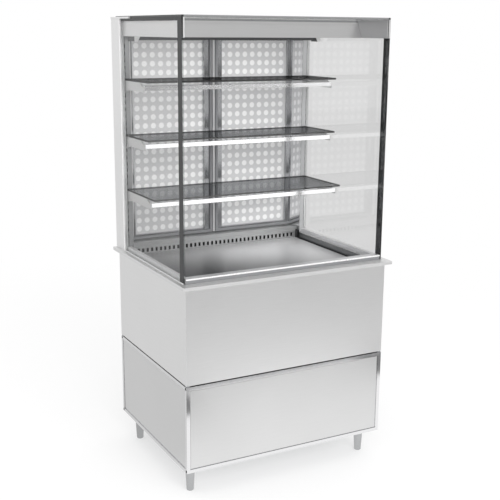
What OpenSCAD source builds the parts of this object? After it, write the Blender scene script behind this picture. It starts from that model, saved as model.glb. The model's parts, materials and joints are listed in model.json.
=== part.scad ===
// Free-standing refrigerated self-service display case.
// Origin: centre of the footprint at floor level. X runs to the right, -Y is the
// customer side, +Y the service side with the doors, +Z is up. Millimetres.

/* [Counter and cabinet] */
// Width of the counter top
counter_w = 1000; // [960:10:1200]
// Depth of the counter top
counter_d = 800; // [780:10:900]
// Thickness of the counter edge
counter_t = 15; // [12:1:20]
// Height of the counter's upper face above the floor
counter_h = 925; // [910:5:960]
// How far the counter stands out past the cabinet at each side
side_overhang = 20; // [16:1:26]
// How far the counter stands out past the cabinet at the front
front_overhang = 27; // [20:1:34]
// How far the counter stands out past the cabinet at the rear
rear_overhang = 28; // [24:1:34]
// Height of the shadow line between the lower box and the upper casing
division_h = 504; // [495:1:515]
// Total height over the glass roof
total_h = 1960; // [1930:10:2050]
// Thickness of the casing sheets
sheet_t = 2; // [1.5:0.5:3]

/* [Base frame and feet] */
// Height of the cabinet's underside above the floor
plinth_h = 120; // [110:5:135]
// Side of the square frame tubes
tube = 15; // [12:1:18]
// Shadow gap between the frame and the lower panels
panel_gap = 4; // [3:1:6]
// Depth by which the lower panels sit behind the frame
panel_recess = 3; // [2:1:5]
// Thickness of the lower panels with their folded edges
panel_t = 12; // [10:1:14]
// Open shadow line under the upper casing
reveal = 5; // [3:1:8]
// Diameter of a foot where it meets its socket
foot_top_d = 44; // [38:1:48]
// Diameter of a foot at the floor
foot_tip_d = 32; // [28:1:38]
// Distance of a foot's axis from the cabinet's side
foot_inset_x = 51; // [46:1:65]
// Distance of a foot's axis from the cabinet's front or rear
foot_inset_y = 83; // [75:1:95]
// Diameter of a foot's stem
foot_stem_d = 16; // [12:1:20]
// Levelling travel of a foot
foot_travel = 25; // [10:1:28]

/* [Well] */
// Width of the open well
well_w = 876; // [840:4:880]
// Depth of the well below the counter's upper face
well_depth = 325; // [300:5:335]
// Width of the front rail of the well rim
rim_front_w = 36; // [30:1:44]
// Height of the rim above the counter
rim_h = 20; // [15:1:28]
// Thickness of the well's steel wall
liner_t = 2; // [1.5:0.5:3]
// Thickness of the insulation round the well
foam_t = 38; // [30:1:40]
// Width of the side rails of the well rim
rim_side_w = 18; // [12:1:28]
// Drop from the counter's upper face to the pan
pan_drop = 27; // [20:1:34]
// Gap between the pan and the well at each side
pan_side_gap = 10; // [6:1:30]
// Width of one slot of the air grille
slot_w = 11; // [8:1:14]
// Pitch of the air grille's slots
slot_pitch = 22; // [20:1:34]

/* [Glass and pillars] */
// Thickness of the side panes
pane_t = 8; // [6:1:10]
// Distance of a side pane's outer face from the counter's side edge
pane_inset = 24; // [20:1:30]
// Distance of the panes' front edge from the counter's front edge
pane_front = 52; // [40:1:60]
// Thickness of the glass roof
roof_t = 8; // [6:1:10]
// Depth of the rear pillars
pillar_d = 108; // [100:1:115]
// Distance of a pillar's outer face from the counter's side edge
pillar_inset = 18; // [12:1:20]
// Wall of the folded pillars
pillar_wall = 1.5; // [1:0.5:2]
// Length of a roof clip in front of its pillar
clip_reach = 112; // [60:4:140]

/* [Shelves] */
// Thickness of a shelf glass
shelf_t = 8; // [6:1:10]
// Free height between the upper shelf and the canopy
shelf_top_free = 180; // [150:5:210]
// Distance from one shelf to the next
shelf_pitch = 243; // [220:1:250]
// Depth of the upper and the middle shelf
shelf_d = 257; // [230:1:290]
// Depth of the lowest shelf
shelf_low_d = 315; // [295:1:330]
// Height of a shelf's front rail
rail_h = 20; // [14:1:22]
// Thickness of a shelf's front rail
rail_t = 12; // [8:1:14]
// Distance of the rail behind the shelf's front edge
rail_setback = 35; // [25:1:45]
// Free height between the shelf glass and the rail
rail_drop = 12; // [8:1:14]
// Width of an upright, seen from the front
upright_w = 26; // [20:1:30]
// Height of a shelf bracket
bracket_h = 39; // [36:1:44]
// Thickness of a shelf bracket
bracket_t = 3; // [2:0.5:4]
// Lift that frees a shelf from its brackets
shelf_lift = 40; // [20:5:60]

/* [Canopy and lamp] */
// Height of the canopy below the glass roof
canopy_h = 76; // [66:1:82]
// Distance of the canopy's lower front edge from the counter's front edge
canopy_front = 234; // [210:2:260]
// Sheet thickness of the canopy
canopy_t = 1.5; // [1:0.5:2]
// Height of the lamp bar
lamp_h = 14; // [12:1:18]
// Depth of the lamp bar
lamp_d = 60; // [40:2:70]
// Distance of the lamp bar's front from the counter's front edge
lamp_front = 580; // [540:5:600]

/* [Doors] */
// Thickness of a door leaf
door_t = 26; // [24:1:28]
// Width of a door's meeting stile
meeting_stile = 44; // [36:1:54]
// Width of a door's hinge stile
hinge_stile = 56; // [50:1:64]
// Height of a door's bottom rail
door_rail_low = 21; // [18:1:30]
// Height of a door's top rail
door_rail_top = 42; // [34:1:50]
// Width of the gap between the two leaves
door_gap = 3; // [2:0.5:5]
// Thickness of a door panel
door_panel_t = 4; // [3:0.5:6]
// Diameter of a hinge pin
pin_d = 10; // [8:1:12]
// Height of the door sill above the counter
sill_h = 27; // [24:1:34]

/* [Cooling unit] */
// Diameter of the compressor's shell
compressor_d = 170; // [140:5:180]
// Height of the compressor's shell
compressor_h = 190; // [160:5:210]
// Diameter of the condenser fan
big_fan_d = 230; // [200:5:240]
// Diameter of an evaporator fan
small_fan_d = 150; // [120:5:160]
// Diameter of the fan shafts
shaft_d = 6; // [5:0.5:8]
// Outer diameter of the refrigerant pipes
pipe_d = 10; // [8:1:12]
// Outer diameter of the drain pipe
drain_d = 32; // [26:1:36]

/* [Controls] */
// Width of the control panel
control_w = 250; // [240:5:270]
// Height of the control panel
control_h = 90; // [84:1:100]
// Depth of the control box behind the panel
control_depth = 70; // [60:5:90]
// Diameter of a controller key
key_d = 9; // [7:1:10]
// Travel of a controller key
key_travel = 1.5; // [1:0.5:2]
// Height of a rocker switch
rocker_h = 24; // [20:1:28]
// Width of a rocker switch
rocker_w = 14; // [12:1:16]
// Tilt of a rocker to each side of its middle
rocker_tilt = 10; // [8:1:12]

/* [Hidden] */
$fn = 48;

// Small amount by which a cutter passes the face that it cuts
eps = 1;
// Radial clearance of a shaft or stem in its bore
fit = 0.05;

// Planes of the counter and the cabinet
half_w = counter_w / 2;
half_d = counter_d / 2;
body_x = half_w - side_overhang;
front_y = -half_d + front_overhang;
rear_y = half_d - rear_overhang;
counter_under = counter_h - counter_t;
frame_top = division_h - reveal;

// Planes of the glass and the pillars
pane_out = half_w - pane_inset;
pane_in = pane_out - pane_t;
glass_front_y = -half_d + pane_front;
pillar_front_y = half_d - pillar_d;
pillar_out = half_w - pillar_inset;
pillar_in = pane_in - 2;
roof_under = total_h - roof_t;
roof_rear_y = half_d - 44;
canopy_under = roof_under - canopy_h;
plate_t = 6;
plate_in = pane_in - plate_t;

// Planes of the well
well_x = well_w / 2;
well_front_y = glass_front_y + rim_front_w;
well_rear_y = pillar_front_y + 40;
well_floor = counter_h - well_depth;
liner_x = well_x + liner_t;
foam_x = body_x - sheet_t - tube - 2;
foam_front_y = front_y + sheet_t + tube + 2;
foam_rear_y = rear_y - sheet_t - tube - 2;
foam_floor = well_floor - liner_t - foam_t;
pan_z = counter_h - pan_drop;
grille_y = pillar_front_y + 22;
grille_t = 2;
grille_h = 32;
slot_h = 18;
sill_y = pillar_front_y + 25;
pan_rear_y = grille_y - 4;
pan_front_y = well_front_y + 20;
pan_x = well_x - pan_side_gap;
pan_t = 2;
pan_edge = 22;
bearer = 20;
bearer_z = pan_z - pan_edge - bearer;

// Planes of the doors
door_out_y = half_d - 6;
door_in_y = door_out_y - door_t;
hinge_x = pillar_in - 20;
hinge_y = door_out_y - door_t / 2;
door_side_x = hinge_x + 10;
door_low_z = counter_h + sill_h + 2;
header_z = canopy_under + 26;
door_top_z = header_z - 2;
seal_y = door_in_y - 8;
upright_y = pillar_front_y;
upright_d = seal_y - 6 - upright_y;
panel_x0 = meeting_stile + door_gap / 2;
panel_x1 = door_side_x - hinge_stile;
panel_z0 = door_low_z + door_rail_low;
panel_z1 = door_top_z - door_rail_top;
pin_len = 16;
ledge = 5;
handle_len = 160;
handle_z0 = (door_low_z + door_top_z - handle_len) / 2;
handle_z1 = handle_z0 + handle_len;

// Planes of the shelves
shelf_x = plate_in + 2;
shelf_rear_y = upright_y - 2;
shelf_low_h = canopy_under - shelf_top_free - 2 * shelf_pitch;
bracket_x = shelf_x;

// Places of the cooling unit
plate_z = plinth_h + tube;
base_t = 2;
floor_z = plate_z + base_t;
tab = 12;
fan_plate_y = 190;
fan_plate_top = bearer_z - 30;
small_fan_z = (well_floor + fan_plate_top) / 2;
small_fan_x = 210;
comp_x = -190;
comp_y = 150;
mount_h = 14;
cond_x = 200;
cond_d = 50;
cond_y = 110;
cond_w = 280;
cond_h = 270;
cond_z = floor_z + 6;
cond_mid_z = cond_z + cond_h / 2;
tray_x = -60;
tray_y = -250;
tray_w = 260;
tray_d = 200;
tray_h = 50;
drain_x = 40;
drain_y = -160;
pipe_x_suction = -380;
pipe_x_liquid = -350;
pipe_y = fan_plate_y - 128;
pipe_z_top = well_floor + 40;

// Places of the controls
control_side = 105;
control_gap = 12;
control_x = body_x - control_side - control_w / 2;
control_z = frame_top - tube - control_gap - control_h / 2;
face_y = rear_y + 3;
key_z = control_z - 4;
key_x = [control_x - 35, control_x - 22];
switch_x = [control_x + 30, control_x + 75];

// Cuboid between two opposite corners
module block(low, high) {
    translate(low)
        cube(high - low);
}

// The same piece at both sides of the middle plane
module both_sides() {
    children();
    mirror([1, 0, 0])
        children();
}

// Cylinder along X, Y or Z, starting at a point
module rod(at, d, length, axis = "z") {
    turn = axis == "x" ? [0, 90, 0] : axis == "y" ? [-90, 0, 0] : [0, 0, 0];
    translate(at)
        rotate(turn)
            cylinder(d = d, h = length);
}

// Square tube between two corners, hollow along the given axis
module box_tube(low, high, axis, wall) {
    side = [axis == "x" ? 0 : wall, axis == "y" ? 0 : wall, axis == "z" ? 0 : wall];
    past = [axis == "x" ? eps : 0, axis == "y" ? eps : 0, axis == "z" ? eps : 0];
    difference() {
        block(low, high);
        block(low + side - past, high - side + past);
    }
}

// Pipe run through a list of points, with brazed ball elbows and square ends
module pipe_run(points, d) {
    elbow = 2;
    for (i = [0 : len(points) - 2]) {
        step = points[i + 1] - points[i];
        length = norm(step);
        translate(points[i])
            rotate([0, acos(step[2] / length), atan2(step[1], step[0])])
                cylinder(d = d, h = length);
        if (i > 0)
            translate(points[i])
                sphere(d = d + elbow);
    }
}

// Base frame: rails and posts of square tube, with the sockets of the feet
module base_frame() color("silver") {
    wall = 2;
    for (z = [plinth_h, frame_top - tube]) {
        for (y = [front_y, rear_y - tube])
            box_tube([-body_x, y, z], [body_x, y + tube, z + tube], "x", wall);
        both_sides()
            box_tube([body_x - tube, front_y + tube, z], [body_x, rear_y - tube, z + tube], "y", wall);
    }
    both_sides()
        for (y = [front_y, rear_y - tube])
            box_tube([body_x - tube, y, plinth_h + tube], [body_x, y + tube, frame_top - tube], "z", wall);
    gusset_t = 3;
    socket_r = foot_top_d / 2 + 3;
    both_sides()
        for (y = [front_y + foot_inset_y, rear_y - foot_inset_y])
            difference() {
                union() {
                    rod([body_x - foot_inset_x, y, plinth_h], 2 * socket_r, tube);
                    block([body_x - foot_inset_x - socket_r, min(y - socket_r, y < 0 ? front_y + tube : y),
                           plinth_h + tube - gusset_t],
                          [body_x - tube, max(y + socket_r, y > 0 ? rear_y - tube : y), plinth_h + tube]);
                }
                rod([body_x - foot_inset_x, y, plinth_h - eps], foot_stem_d + 2 * fit, tube + 2 * eps);
            }
}

// Base plate that closes the frame below and carries the cooling unit
module base_plate() color("lightgray") difference() {
    inner = tube - 4;
    block([-body_x + inner, front_y + inner, plate_z], [body_x - inner, rear_y - inner, floor_z]);
    for (x = [-1, 1], y = [front_y + foot_inset_y, rear_y - foot_inset_y])
        rod([x * (body_x - foot_inset_x), y, plate_z - eps], foot_stem_d + 4, base_t + 2 * eps);
    both_sides()
        for (y = [front_y, rear_y - tube])
            block([body_x - tube - 0.5, y - 0.5, plate_z - eps], [body_x + eps, y + tube + 0.5, floor_z + eps]);
}

// Levelling foot: tapered body with a domed tip and a stem
module foot(x_side, y) color("gainsboro") {
    tip_round = 5;
    translate([x_side * (body_x - foot_inset_x), y, 0]) {
        rotate_extrude()
            polygon(concat(
                [[0, 0]],
                [for (a = [0 : 15 : 90]) [foot_tip_d / 2 - tip_round + tip_round * sin(a),
                                          tip_round - tip_round * cos(a)]],
                [[foot_top_d / 2, plinth_h], [0, plinth_h]]));
        translate([0, 0, plinth_h])
            cylinder(d = foot_stem_d, h = tube + base_t + foot_travel);
    }
}
module foot_front_left() foot(-1, front_y + foot_inset_y);
module foot_front_right() foot(1, front_y + foot_inset_y);
module foot_rear_left() foot(-1, rear_y - foot_inset_y);
module foot_rear_right() foot(1, rear_y - foot_inset_y);

// Front and side panels of the lower box, trays with folded edges
module lower_panels() color("gainsboro") {
    low = plinth_h + tube + panel_gap;
    high = frame_top - tube - panel_gap;
    edge = tube + panel_gap;
    outer_y = front_y + panel_recess;
    outer_x = body_x - panel_recess;
    difference() {
        block([-body_x + edge, outer_y, low], [body_x - edge, outer_y + panel_t, high]);
        block([-body_x + edge + sheet_t, outer_y + sheet_t, low + sheet_t],
              [body_x - edge - sheet_t, outer_y + panel_t + eps, high - sheet_t]);
    }
    both_sides()
        difference() {
            block([outer_x - panel_t, front_y + edge, low], [outer_x, rear_y - edge, high]);
            block([outer_x - panel_t - eps, front_y + edge + sheet_t, low + sheet_t],
                  [outer_x - sheet_t, rear_y - edge - sheet_t, high - sheet_t]);
        }
    for (z = [low + 30, high - 30]) {
        both_sides()
            block([body_x - edge, outer_y + panel_t - tab / 3, z - tab / 2],
                  [body_x - tube, outer_y + panel_t, z + tab / 2]);
        for (y = [front_y + tube, rear_y - edge])
            both_sides()
                block([outer_x - panel_t, y, z - tab / 2], [outer_x - panel_t + tab / 3, y + panel_gap, z + tab / 2]);
    }
}

// Rear panels: louvred service panel below, plain panel above
module rear_panels() color("gainsboro") {
    low = plinth_h + tube + panel_gap;
    high = frame_top - tube - panel_gap;
    edge = tube + panel_gap;
    outer_y = rear_y - panel_recess;
    louvre_h = 8;
    louvre_w = 300;
    difference() {
        block([-body_x + edge, outer_y - sheet_t, low], [body_x - edge, outer_y, high]);
        for (z = [low + 40 : 20 : high - 40], x = [-body_x + 80, -body_x + 80 + louvre_w + 40])
            if (x + louvre_w < control_x - control_w / 2 || z < control_z - control_h / 2 - 20)
                block([x, outer_y - sheet_t - eps, z], [x + louvre_w, outer_y + eps, z + louvre_h]);
        block([control_x - control_w / 2 + 6, outer_y - sheet_t - eps, control_z - control_h / 2 + 6],
              [control_x + control_w / 2 - 6, outer_y + eps, control_z + control_h / 2 - 6]);
        rod([body_x - 60, outer_y - sheet_t - eps, low + 22], 20.2, sheet_t + 2 * eps, "y");
    }
    both_sides()
        for (z = [low + 30, high - 30])
            block([body_x - edge - tab, outer_y - sheet_t - tab / 3, z - tab / 2],
                  [body_x - tube, outer_y - sheet_t, z + tab / 2]);
    block([-body_x, rear_y - sheet_t, division_h], [body_x, rear_y, counter_under]);
}

// Upper casing: one plain front sheet and two side sheets, flanged below
module casing_panels() color("gainsboro") {
    flange = 12;
    block([-body_x, front_y, division_h], [body_x, front_y + sheet_t, counter_under]);
    block([-body_x + sheet_t + tube, front_y + sheet_t, division_h],
          [body_x - sheet_t - tube, front_y + sheet_t + flange, division_h + sheet_t]);
    both_sides()
        union() {
            block([body_x - sheet_t, front_y + sheet_t, division_h], [body_x, rear_y - sheet_t, counter_under]);
            block([body_x - sheet_t - flange, front_y + sheet_t + tube, division_h],
                  [body_x - sheet_t, rear_y - sheet_t - tube, division_h + sheet_t]);
        }
}

// Inner frame: four uprights on the base frame and two bearers under the insulation
module inner_frame() color("darkgray") {
    for (y = [front_y + sheet_t, rear_y - sheet_t - tube])
        both_sides()
            block([body_x - sheet_t - tube, y, frame_top], [body_x - sheet_t, y + tube, counter_under]);
    for (y = [-240, 200])
        block([-body_x + sheet_t, y, foam_floor - tube], [body_x - sheet_t, y + tube, foam_floor]);
}

// Counter top with the cut-out of the well
module countertop() color("gainsboro") difference() {
    block([-half_w, -half_d, counter_under], [half_w, half_d, counter_h]);
    block([-liner_x, well_front_y - liner_t, counter_under - eps],
          [liner_x, well_rear_y + liner_t, counter_h + eps]);
}

// Polished rim round the front and the sides of the well
module well_rim() color("whitesmoke") {
    block([-pane_in, glass_front_y, counter_h], [pane_in, well_front_y, counter_h + rim_h]);
    both_sides()
        block([pane_in - rim_side_w, well_front_y, counter_h], [pane_in, pillar_front_y, counter_h + rim_h]);
}

// Steel tub of the well with the bearers of the pan
module well_liner() color("silver") {
    drop = [0, 0, eps];
    difference() {
        block([-liner_x, well_front_y - liner_t, well_floor - liner_t],
              [liner_x, well_rear_y + liner_t, counter_h]);
        block([-well_x, well_front_y, well_floor], [well_x, well_rear_y, counter_h + eps]);
        rod([drain_x, drain_y, well_floor - liner_t - eps], drain_d - 4, liner_t + 2 * eps);
        for (x = [pipe_x_suction, pipe_x_liquid])
            rod([x, pipe_y, well_floor - liner_t - eps], pipe_d + 1, liner_t + 2 * eps);
    }
    for (y = [-200, 150])
        block([-well_x, y, bearer_z], [well_x, y + bearer, bearer_z + bearer]);
}

// Insulation between the tub and the casing
module well_insulation() color("khaki") difference() {
    block([-foam_x, foam_front_y, foam_floor], [foam_x, foam_rear_y, counter_under]);
    block([-liner_x, well_front_y - liner_t, well_floor - liner_t],
          [liner_x, well_rear_y + liner_t, counter_under + eps]);
    rod([drain_x, drain_y, foam_floor - eps], drain_d + 0.6, foam_t + 2 * eps);
    for (x = [pipe_x_suction, pipe_x_liquid])
        rod([x, pipe_y, foam_floor - eps], pipe_d + 1, foam_t + 2 * eps);
}

// Lift-out pan with turned-down edges
module display_pan() color("lightgray") difference() {
    block([-pan_x, pan_front_y, pan_z - pan_edge], [pan_x, pan_rear_y, pan_z]);
    block([-pan_x + pan_t, pan_front_y + pan_t, pan_z - pan_edge - eps],
          [pan_x - pan_t, pan_rear_y - pan_t, pan_z - pan_t]);
}

// Slotted grille that lets the cold air up behind the pan
module air_grille() color("gray") {
    count = floor((well_w - 30) / slot_pitch);
    first = -(count - 1) * slot_pitch / 2;
    slot_top = counter_h - grille_t - 1;
    difference() {
        block([-well_x, grille_y, counter_h - grille_h], [well_x, grille_y + grille_t, counter_h]);
        for (i = [0 : count - 1])
            block([first + i * slot_pitch - slot_w / 2, grille_y - eps, slot_top - slot_h],
                  [first + i * slot_pitch + slot_w / 2, grille_y + grille_t + eps, slot_top]);
    }
    block([-well_x, grille_y + grille_t, counter_h - grille_t], [well_x, well_rear_y, counter_h]);
}

// Evaporator: finned block with end plates and hairpin tubes
module evaporator() color("lightsteelblue") {
    x1 = 320;
    y0 = fan_plate_y - 150;
    y1 = fan_plate_y - 40;
    z0 = well_floor;
    z1 = fan_plate_top - 10;
    fin_pitch = 20;
    tube_d = 10;
    union() {
        for (x = [-x1 : fin_pitch : x1])
            block([x - 1, y0, z0 + 12], [x + 1, y1, z1 - 6]);
        for (x = [-x1 - 4, x1 + 2])
            block([x, y0 - 4, z0], [x + 2, y1 + 4, z1]);
        for (y = [y0 + 22, y1 - 22], z = [z0 + 40 : 45 : z1 - 40])
            rod([-x1 - 10, y, z], tube_d, 2 * x1 + 20, "x");
    }
}

// Arms and motor body of a fan, with the shaft that carries the rotor
module fan_motor(axis_len, motor_d, motor_l, reach) {
    rod([0, 0, 0], motor_d, motor_l);
    rod([0, 0, motor_l - eps], shaft_d, axis_len + eps);
    for (a = [45 : 90 : 315])
        rotate([0, 0, a])
            block([motor_d / 2 - 2, -3, 2], [reach, 3, 6]);
}

// Rotor with a bored hub and pitched blades, turning about Z
module fan_rotor(d, hub_d, depth, blades) {
    difference() {
        union() {
            cylinder(d = hub_d, h = depth);
            for (i = [0 : blades - 1])
                rotate([0, 0, i * 360 / blades])
                    translate([hub_d / 2 - 3, 0, depth / 2])
                        rotate([28, 0, 0])
                            translate([0, -d * 0.13, -1])
                                cube([d / 2 - hub_d / 2, d * 0.26, 2]);
        }
        translate([0, 0, -eps])
            cylinder(d = shaft_d + 2 * fit, h = depth + 2 * eps);
    }
}

// Plate across the well with the two evaporator fan motors
module fan_plate() color("silver") {
    ring = small_fan_d + 14;
    difference() {
        block([-well_x + 1, fan_plate_y, well_floor], [well_x - 1, fan_plate_y + 3, fan_plate_top]);
        for (x = [-small_fan_x, small_fan_x])
            rod([x, fan_plate_y - eps, small_fan_z], ring, 3 + 2 * eps, "y");
        for (x = [pipe_x_suction, pipe_x_liquid])
            rod([x, fan_plate_y - eps, pipe_z_top], pipe_d + 2, 3 + 2 * eps, "y");
    }
    for (x = [-small_fan_x, small_fan_x])
        translate([x, fan_plate_y + 6, small_fan_z])
            rotate([90, 0, 0])
                translate([0, 0, -30])
                    union() {
                        fan_motor(24, 50, 30, ring / 2 + 8);
                        for (a = [45 : 90 : 315])
                            rotate([0, 0, a])
                                block([ring / 2 + 1, -3, 2], [ring / 2 + 8, 3, 33]);
                    }
}
module evaporator_fan(x) color("dimgray")
    translate([x, fan_plate_y - 15, small_fan_z])
        rotate([-90, 0, 0])
            fan_rotor(small_fan_d, 44, 16, 5);
module evaporator_fan_left() evaporator_fan(-small_fan_x);
module evaporator_fan_right() evaporator_fan(small_fan_x);

// Drain from the tub to the tray
module drain_pipe() color("whitesmoke") difference() {
    rod([drain_x, drain_y, floor_z + tray_h - 8], drain_d, well_floor - liner_t - floor_z - tray_h + 8);
    rod([drain_x, drain_y, floor_z + tray_h - 8 - eps], drain_d - 4, well_floor);
}

// Open tray that takes the condensate
module condensate_tray() color("silver") difference() {
    block([tray_x, tray_y, floor_z], [tray_x + tray_w, tray_y + tray_d, floor_z + tray_h]);
    block([tray_x + 2, tray_y + 2, floor_z + 2],
          [tray_x + tray_w - 2, tray_y + tray_d - 2, floor_z + tray_h + eps]);
}

// Hermetic compressor: domed shell on a foot plate, with two pipe ports
module compressor() color("dimgray") {
    r = compressor_d / 2;
    dome = 40;
    z0 = floor_z + mount_h;
    translate([comp_x, comp_y, z0]) {
        rotate_extrude()
            polygon(concat(
                [[0, 4]],
                [for (a = [0 : 15 : 90]) [r * (0.72 + 0.28 * sin(a)), 4 + dome * (1 - cos(a)) * 0.6]],
                [for (a = [0 : 10 : 90]) [r * cos(a), compressor_h - dome + dome * sin(a)]]));
        rotate_extrude()
            translate([r - 1, compressor_h * 0.55])
                square([5, 8]);
        difference() {
            block([-r - 10, -r + 15, 0], [r + 10, r - 15, 4]);
            for (x = [-1, 1], y = [-1, 1])
                translate([x * (r - 2), y * (r - 30), -eps])
                    cylinder(d = 9, h = 4 + 2 * eps);
        }
        translate([r - 4, 0, compressor_h * 0.35])
            rotate([0, 90, 0])
                cylinder(d = pipe_d, h = 24);
        translate([0, -r + 4, compressor_h * 0.45])
            rotate([90, 0, 0])
                cylinder(d = pipe_d, h = 24);
        block([-r - 30, -25, compressor_h * 0.3], [-r + 8, 25, compressor_h * 0.3 + 60]);
    }
}

// Rubber mounts under the compressor's foot plate
module compressor_mounts() color("black") {
    r = compressor_d / 2;
    for (x = [-1, 1], y = [-1, 1])
        translate([comp_x + x * (r - 2), comp_y + y * (r - 30), floor_z])
            difference() {
                cylinder(d = 22, h = mount_h);
                translate([0, 0, 3])
                    cylinder(d = 8, h = mount_h);
            }
}

// Condenser: finned block between two end plates
module condenser() color("slategray") {
    fins = 22;
    pitch = (cond_w - 8) / (fins - 1);
    union() {
        for (i = [0 : fins - 1])
            block([cond_x, cond_y - cond_w / 2 + 3 + i * pitch, cond_z + 4],
                  [cond_x + cond_d, cond_y - cond_w / 2 + 5 + i * pitch, cond_z + cond_h - 4]);
        for (z = [cond_z + 30 : 42 : cond_z + cond_h - 20], x = [cond_x + 14, cond_x + cond_d - 14])
            rod([x, cond_y - cond_w / 2 - 6, z], pipe_d, cond_w + 12, "y");
        for (y = [cond_y - cond_w / 2, cond_y + cond_w / 2 - 2])
            block([cond_x, y, floor_z], [cond_x + cond_d, y + 2, cond_z + cond_h]);
    }
}

// Shroud of the condenser with its fan motor
module condenser_shroud() color("dimgray") {
    ring = big_fan_d + 12;
    depth = 36;
    x0 = cond_x - depth;
    difference() {
        block([x0, cond_y - cond_w / 2, floor_z], [cond_x, cond_y + cond_w / 2, cond_z + cond_h]);
        block([x0 + 2, cond_y - cond_w / 2 + 2, floor_z + 2],
              [cond_x + eps, cond_y + cond_w / 2 - 2, cond_z + cond_h - 2]);
        rod([x0 - eps, cond_y, cond_mid_z], ring, 2 + 2 * eps, "x");
    }
    translate([x0 - 54, cond_y, cond_mid_z])
        rotate([0, 90, 0])
            union() {
                fan_motor(38, 70, 40, ring / 2 + 6);
                for (a = [45 : 90 : 315])
                    rotate([0, 0, a])
                        block([ring / 2 + 1, -3, 2], [ring / 2 + 6, 3, 54]);
            }
}
module condenser_fan() color("black")
    translate([cond_x - 44, cond_y, cond_mid_z])
        rotate([0, 90, 0])
            fan_rotor(big_fan_d, 60, 20, 5);

// Refrigerant pipes: suction, discharge and liquid line with its drier
module refrigerant_pipes() color("peru") {
    r = compressor_d / 2;
    comp_z = floor_z + mount_h;
    port_y = [comp_x, comp_y - r - 20, comp_z + compressor_h * 0.45];
    port_x = [comp_x + r + 20, comp_y, comp_z + compressor_h * 0.35];
    under = foam_floor - 30;
    evap_x = -330;
    pipe_run([port_y, [comp_x, pipe_y - 70, port_y[2]], [pipe_x_suction, pipe_y - 70, port_y[2]],
              [pipe_x_suction, pipe_y - 70, under], [pipe_x_suction, pipe_y, under],
              [pipe_x_suction, pipe_y, pipe_z_top + 90], [evap_x, pipe_y, pipe_z_top + 90]], pipe_d);
    run_y = cond_y + cond_w / 2 + 30;
    pipe_run([port_x, [port_x[0] + 30, comp_y, port_x[2]], [port_x[0] + 30, run_y, port_x[2]],
              [cond_x + 14, run_y, port_x[2]], [cond_x + 14, cond_y + cond_w / 2 + 6, port_x[2]]], pipe_d);
    low_y = cond_y - cond_w / 2 - 40;
    low_z = cond_z + 30;
    side_x = body_x - 90;
    union() {
            pipe_run([[cond_x + cond_d - 14, cond_y - cond_w / 2 - 6, low_z],
                      [cond_x + cond_d - 14, low_y, low_z], [side_x, low_y, low_z],
                      [side_x, low_y, under - 20], [pipe_x_liquid, low_y, under - 20],
                      [pipe_x_liquid, pipe_y, under - 20],
                      [pipe_x_liquid, pipe_y, pipe_z_top], [evap_x, pipe_y, pipe_z_top]], pipe_d);
            translate([side_x, low_y, low_z + 70])
                rotate_extrude()
                    polygon([[0, 0], [pipe_d / 2 + 1, 0], [14, 14], [14, 96], [pipe_d / 2 + 1, 110], [0, 110]]);
    }
}

// Control box behind the rear panel, with bezels for the switches
module control_box() color("darkgray") {
    x0 = control_x - control_w / 2;
    x1 = control_x + control_w / 2;
    z0 = control_z - control_h / 2;
    z1 = control_z + control_h / 2;
    back = rear_y - panel_recess - sheet_t - control_depth;
    difference() {
        union() {
            block([x0, rear_y - panel_recess, z0], [x1, face_y, z1]);
            block([x0 + 8, back, z0 + 8], [x1 - 8, rear_y - panel_recess, z1 - 8]);
        }
        block([x0 + 10, back + 2, z0 + 10], [x1 - 10, rear_y - panel_recess, z1 - 10]);
        block([control_x - 90, back + 2, control_z - 16], [control_x - 14, face_y + eps, control_z + 16]);
        for (x = switch_x)
            block([x - rocker_w / 2 - 1, back + 2, control_z - rocker_h / 2 - 1],
                  [x + rocker_w / 2 + 1, face_y + eps, control_z + rocker_h / 2 + 1]);
    }
    for (x = switch_x)
        difference() {
            block([x - rocker_w / 2 - 6, face_y, control_z - rocker_h / 2 - 6],
                  [x + rocker_w / 2 + 6, face_y + 4, control_z + rocker_h / 2 + 6]);
            block([x - rocker_w / 2 - 1, face_y - eps, control_z - rocker_h / 2 - 1],
                  [x + rocker_w / 2 + 1, face_y + 4 + eps, control_z + rocker_h / 2 + 1]);
            rod([x - rocker_w / 2 - 4, face_y + 2, control_z], 3 + 2 * fit, rocker_w + 8, "x");
        }
}

// Electronic controller with a display window and two key wells
module controller() color("black") {
    back = rear_y - panel_recess - sheet_t - control_depth + 2;
    difference() {
        union() {
            block([control_x - 91, face_y, control_z - 18], [control_x - 13, face_y + 3, control_z + 18]);
            block([control_x - 89.5, back, control_z - 15], [control_x - 14.5, face_y, control_z + 15]);
        }
        for (x = key_x)
            rod([x, face_y - 6, key_z], key_d + 0.4, 10, "y");
        block([control_x - 84, face_y + 2, control_z - 11], [control_x - 46, face_y + 3 + eps, control_z + 11]);
    }
}
module key(x) color("gainsboro")
    union() {
        rod([x, face_y - 4, key_z], key_d, 8, "y");
        translate([x, face_y + 4, key_z])
            rotate([-90, 0, 0])
                cylinder(d1 = key_d, d2 = key_d - 2, h = 0.8);
    }
module key_up() key(key_x[0]);
module key_down() key(key_x[1]);

// Rocker with two sloped faces on its own trunnions, drawn in the off position
module rocker(x) color("dimgray")
    translate([x, face_y + 2, control_z])
        rotate([rocker_tilt, 0, 0])
            union() {
                translate([-rocker_w / 2, 0, 0])
                    rotate([90, 0, 90])
                        linear_extrude(rocker_w)
                            polygon([[-8, -rocker_h / 2 + 4], [3.5, -rocker_h / 2 + 1.5], [2.5, 0],
                                     [3.5, rocker_h / 2 - 1.5], [-8, rocker_h / 2 - 4]]);
                rod([-rocker_w / 2 - 3, 0, 0], 3, rocker_w + 6, "x");
            }
module power_switch() rocker(switch_x[0]);
module light_switch() rocker(switch_x[1]);

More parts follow.
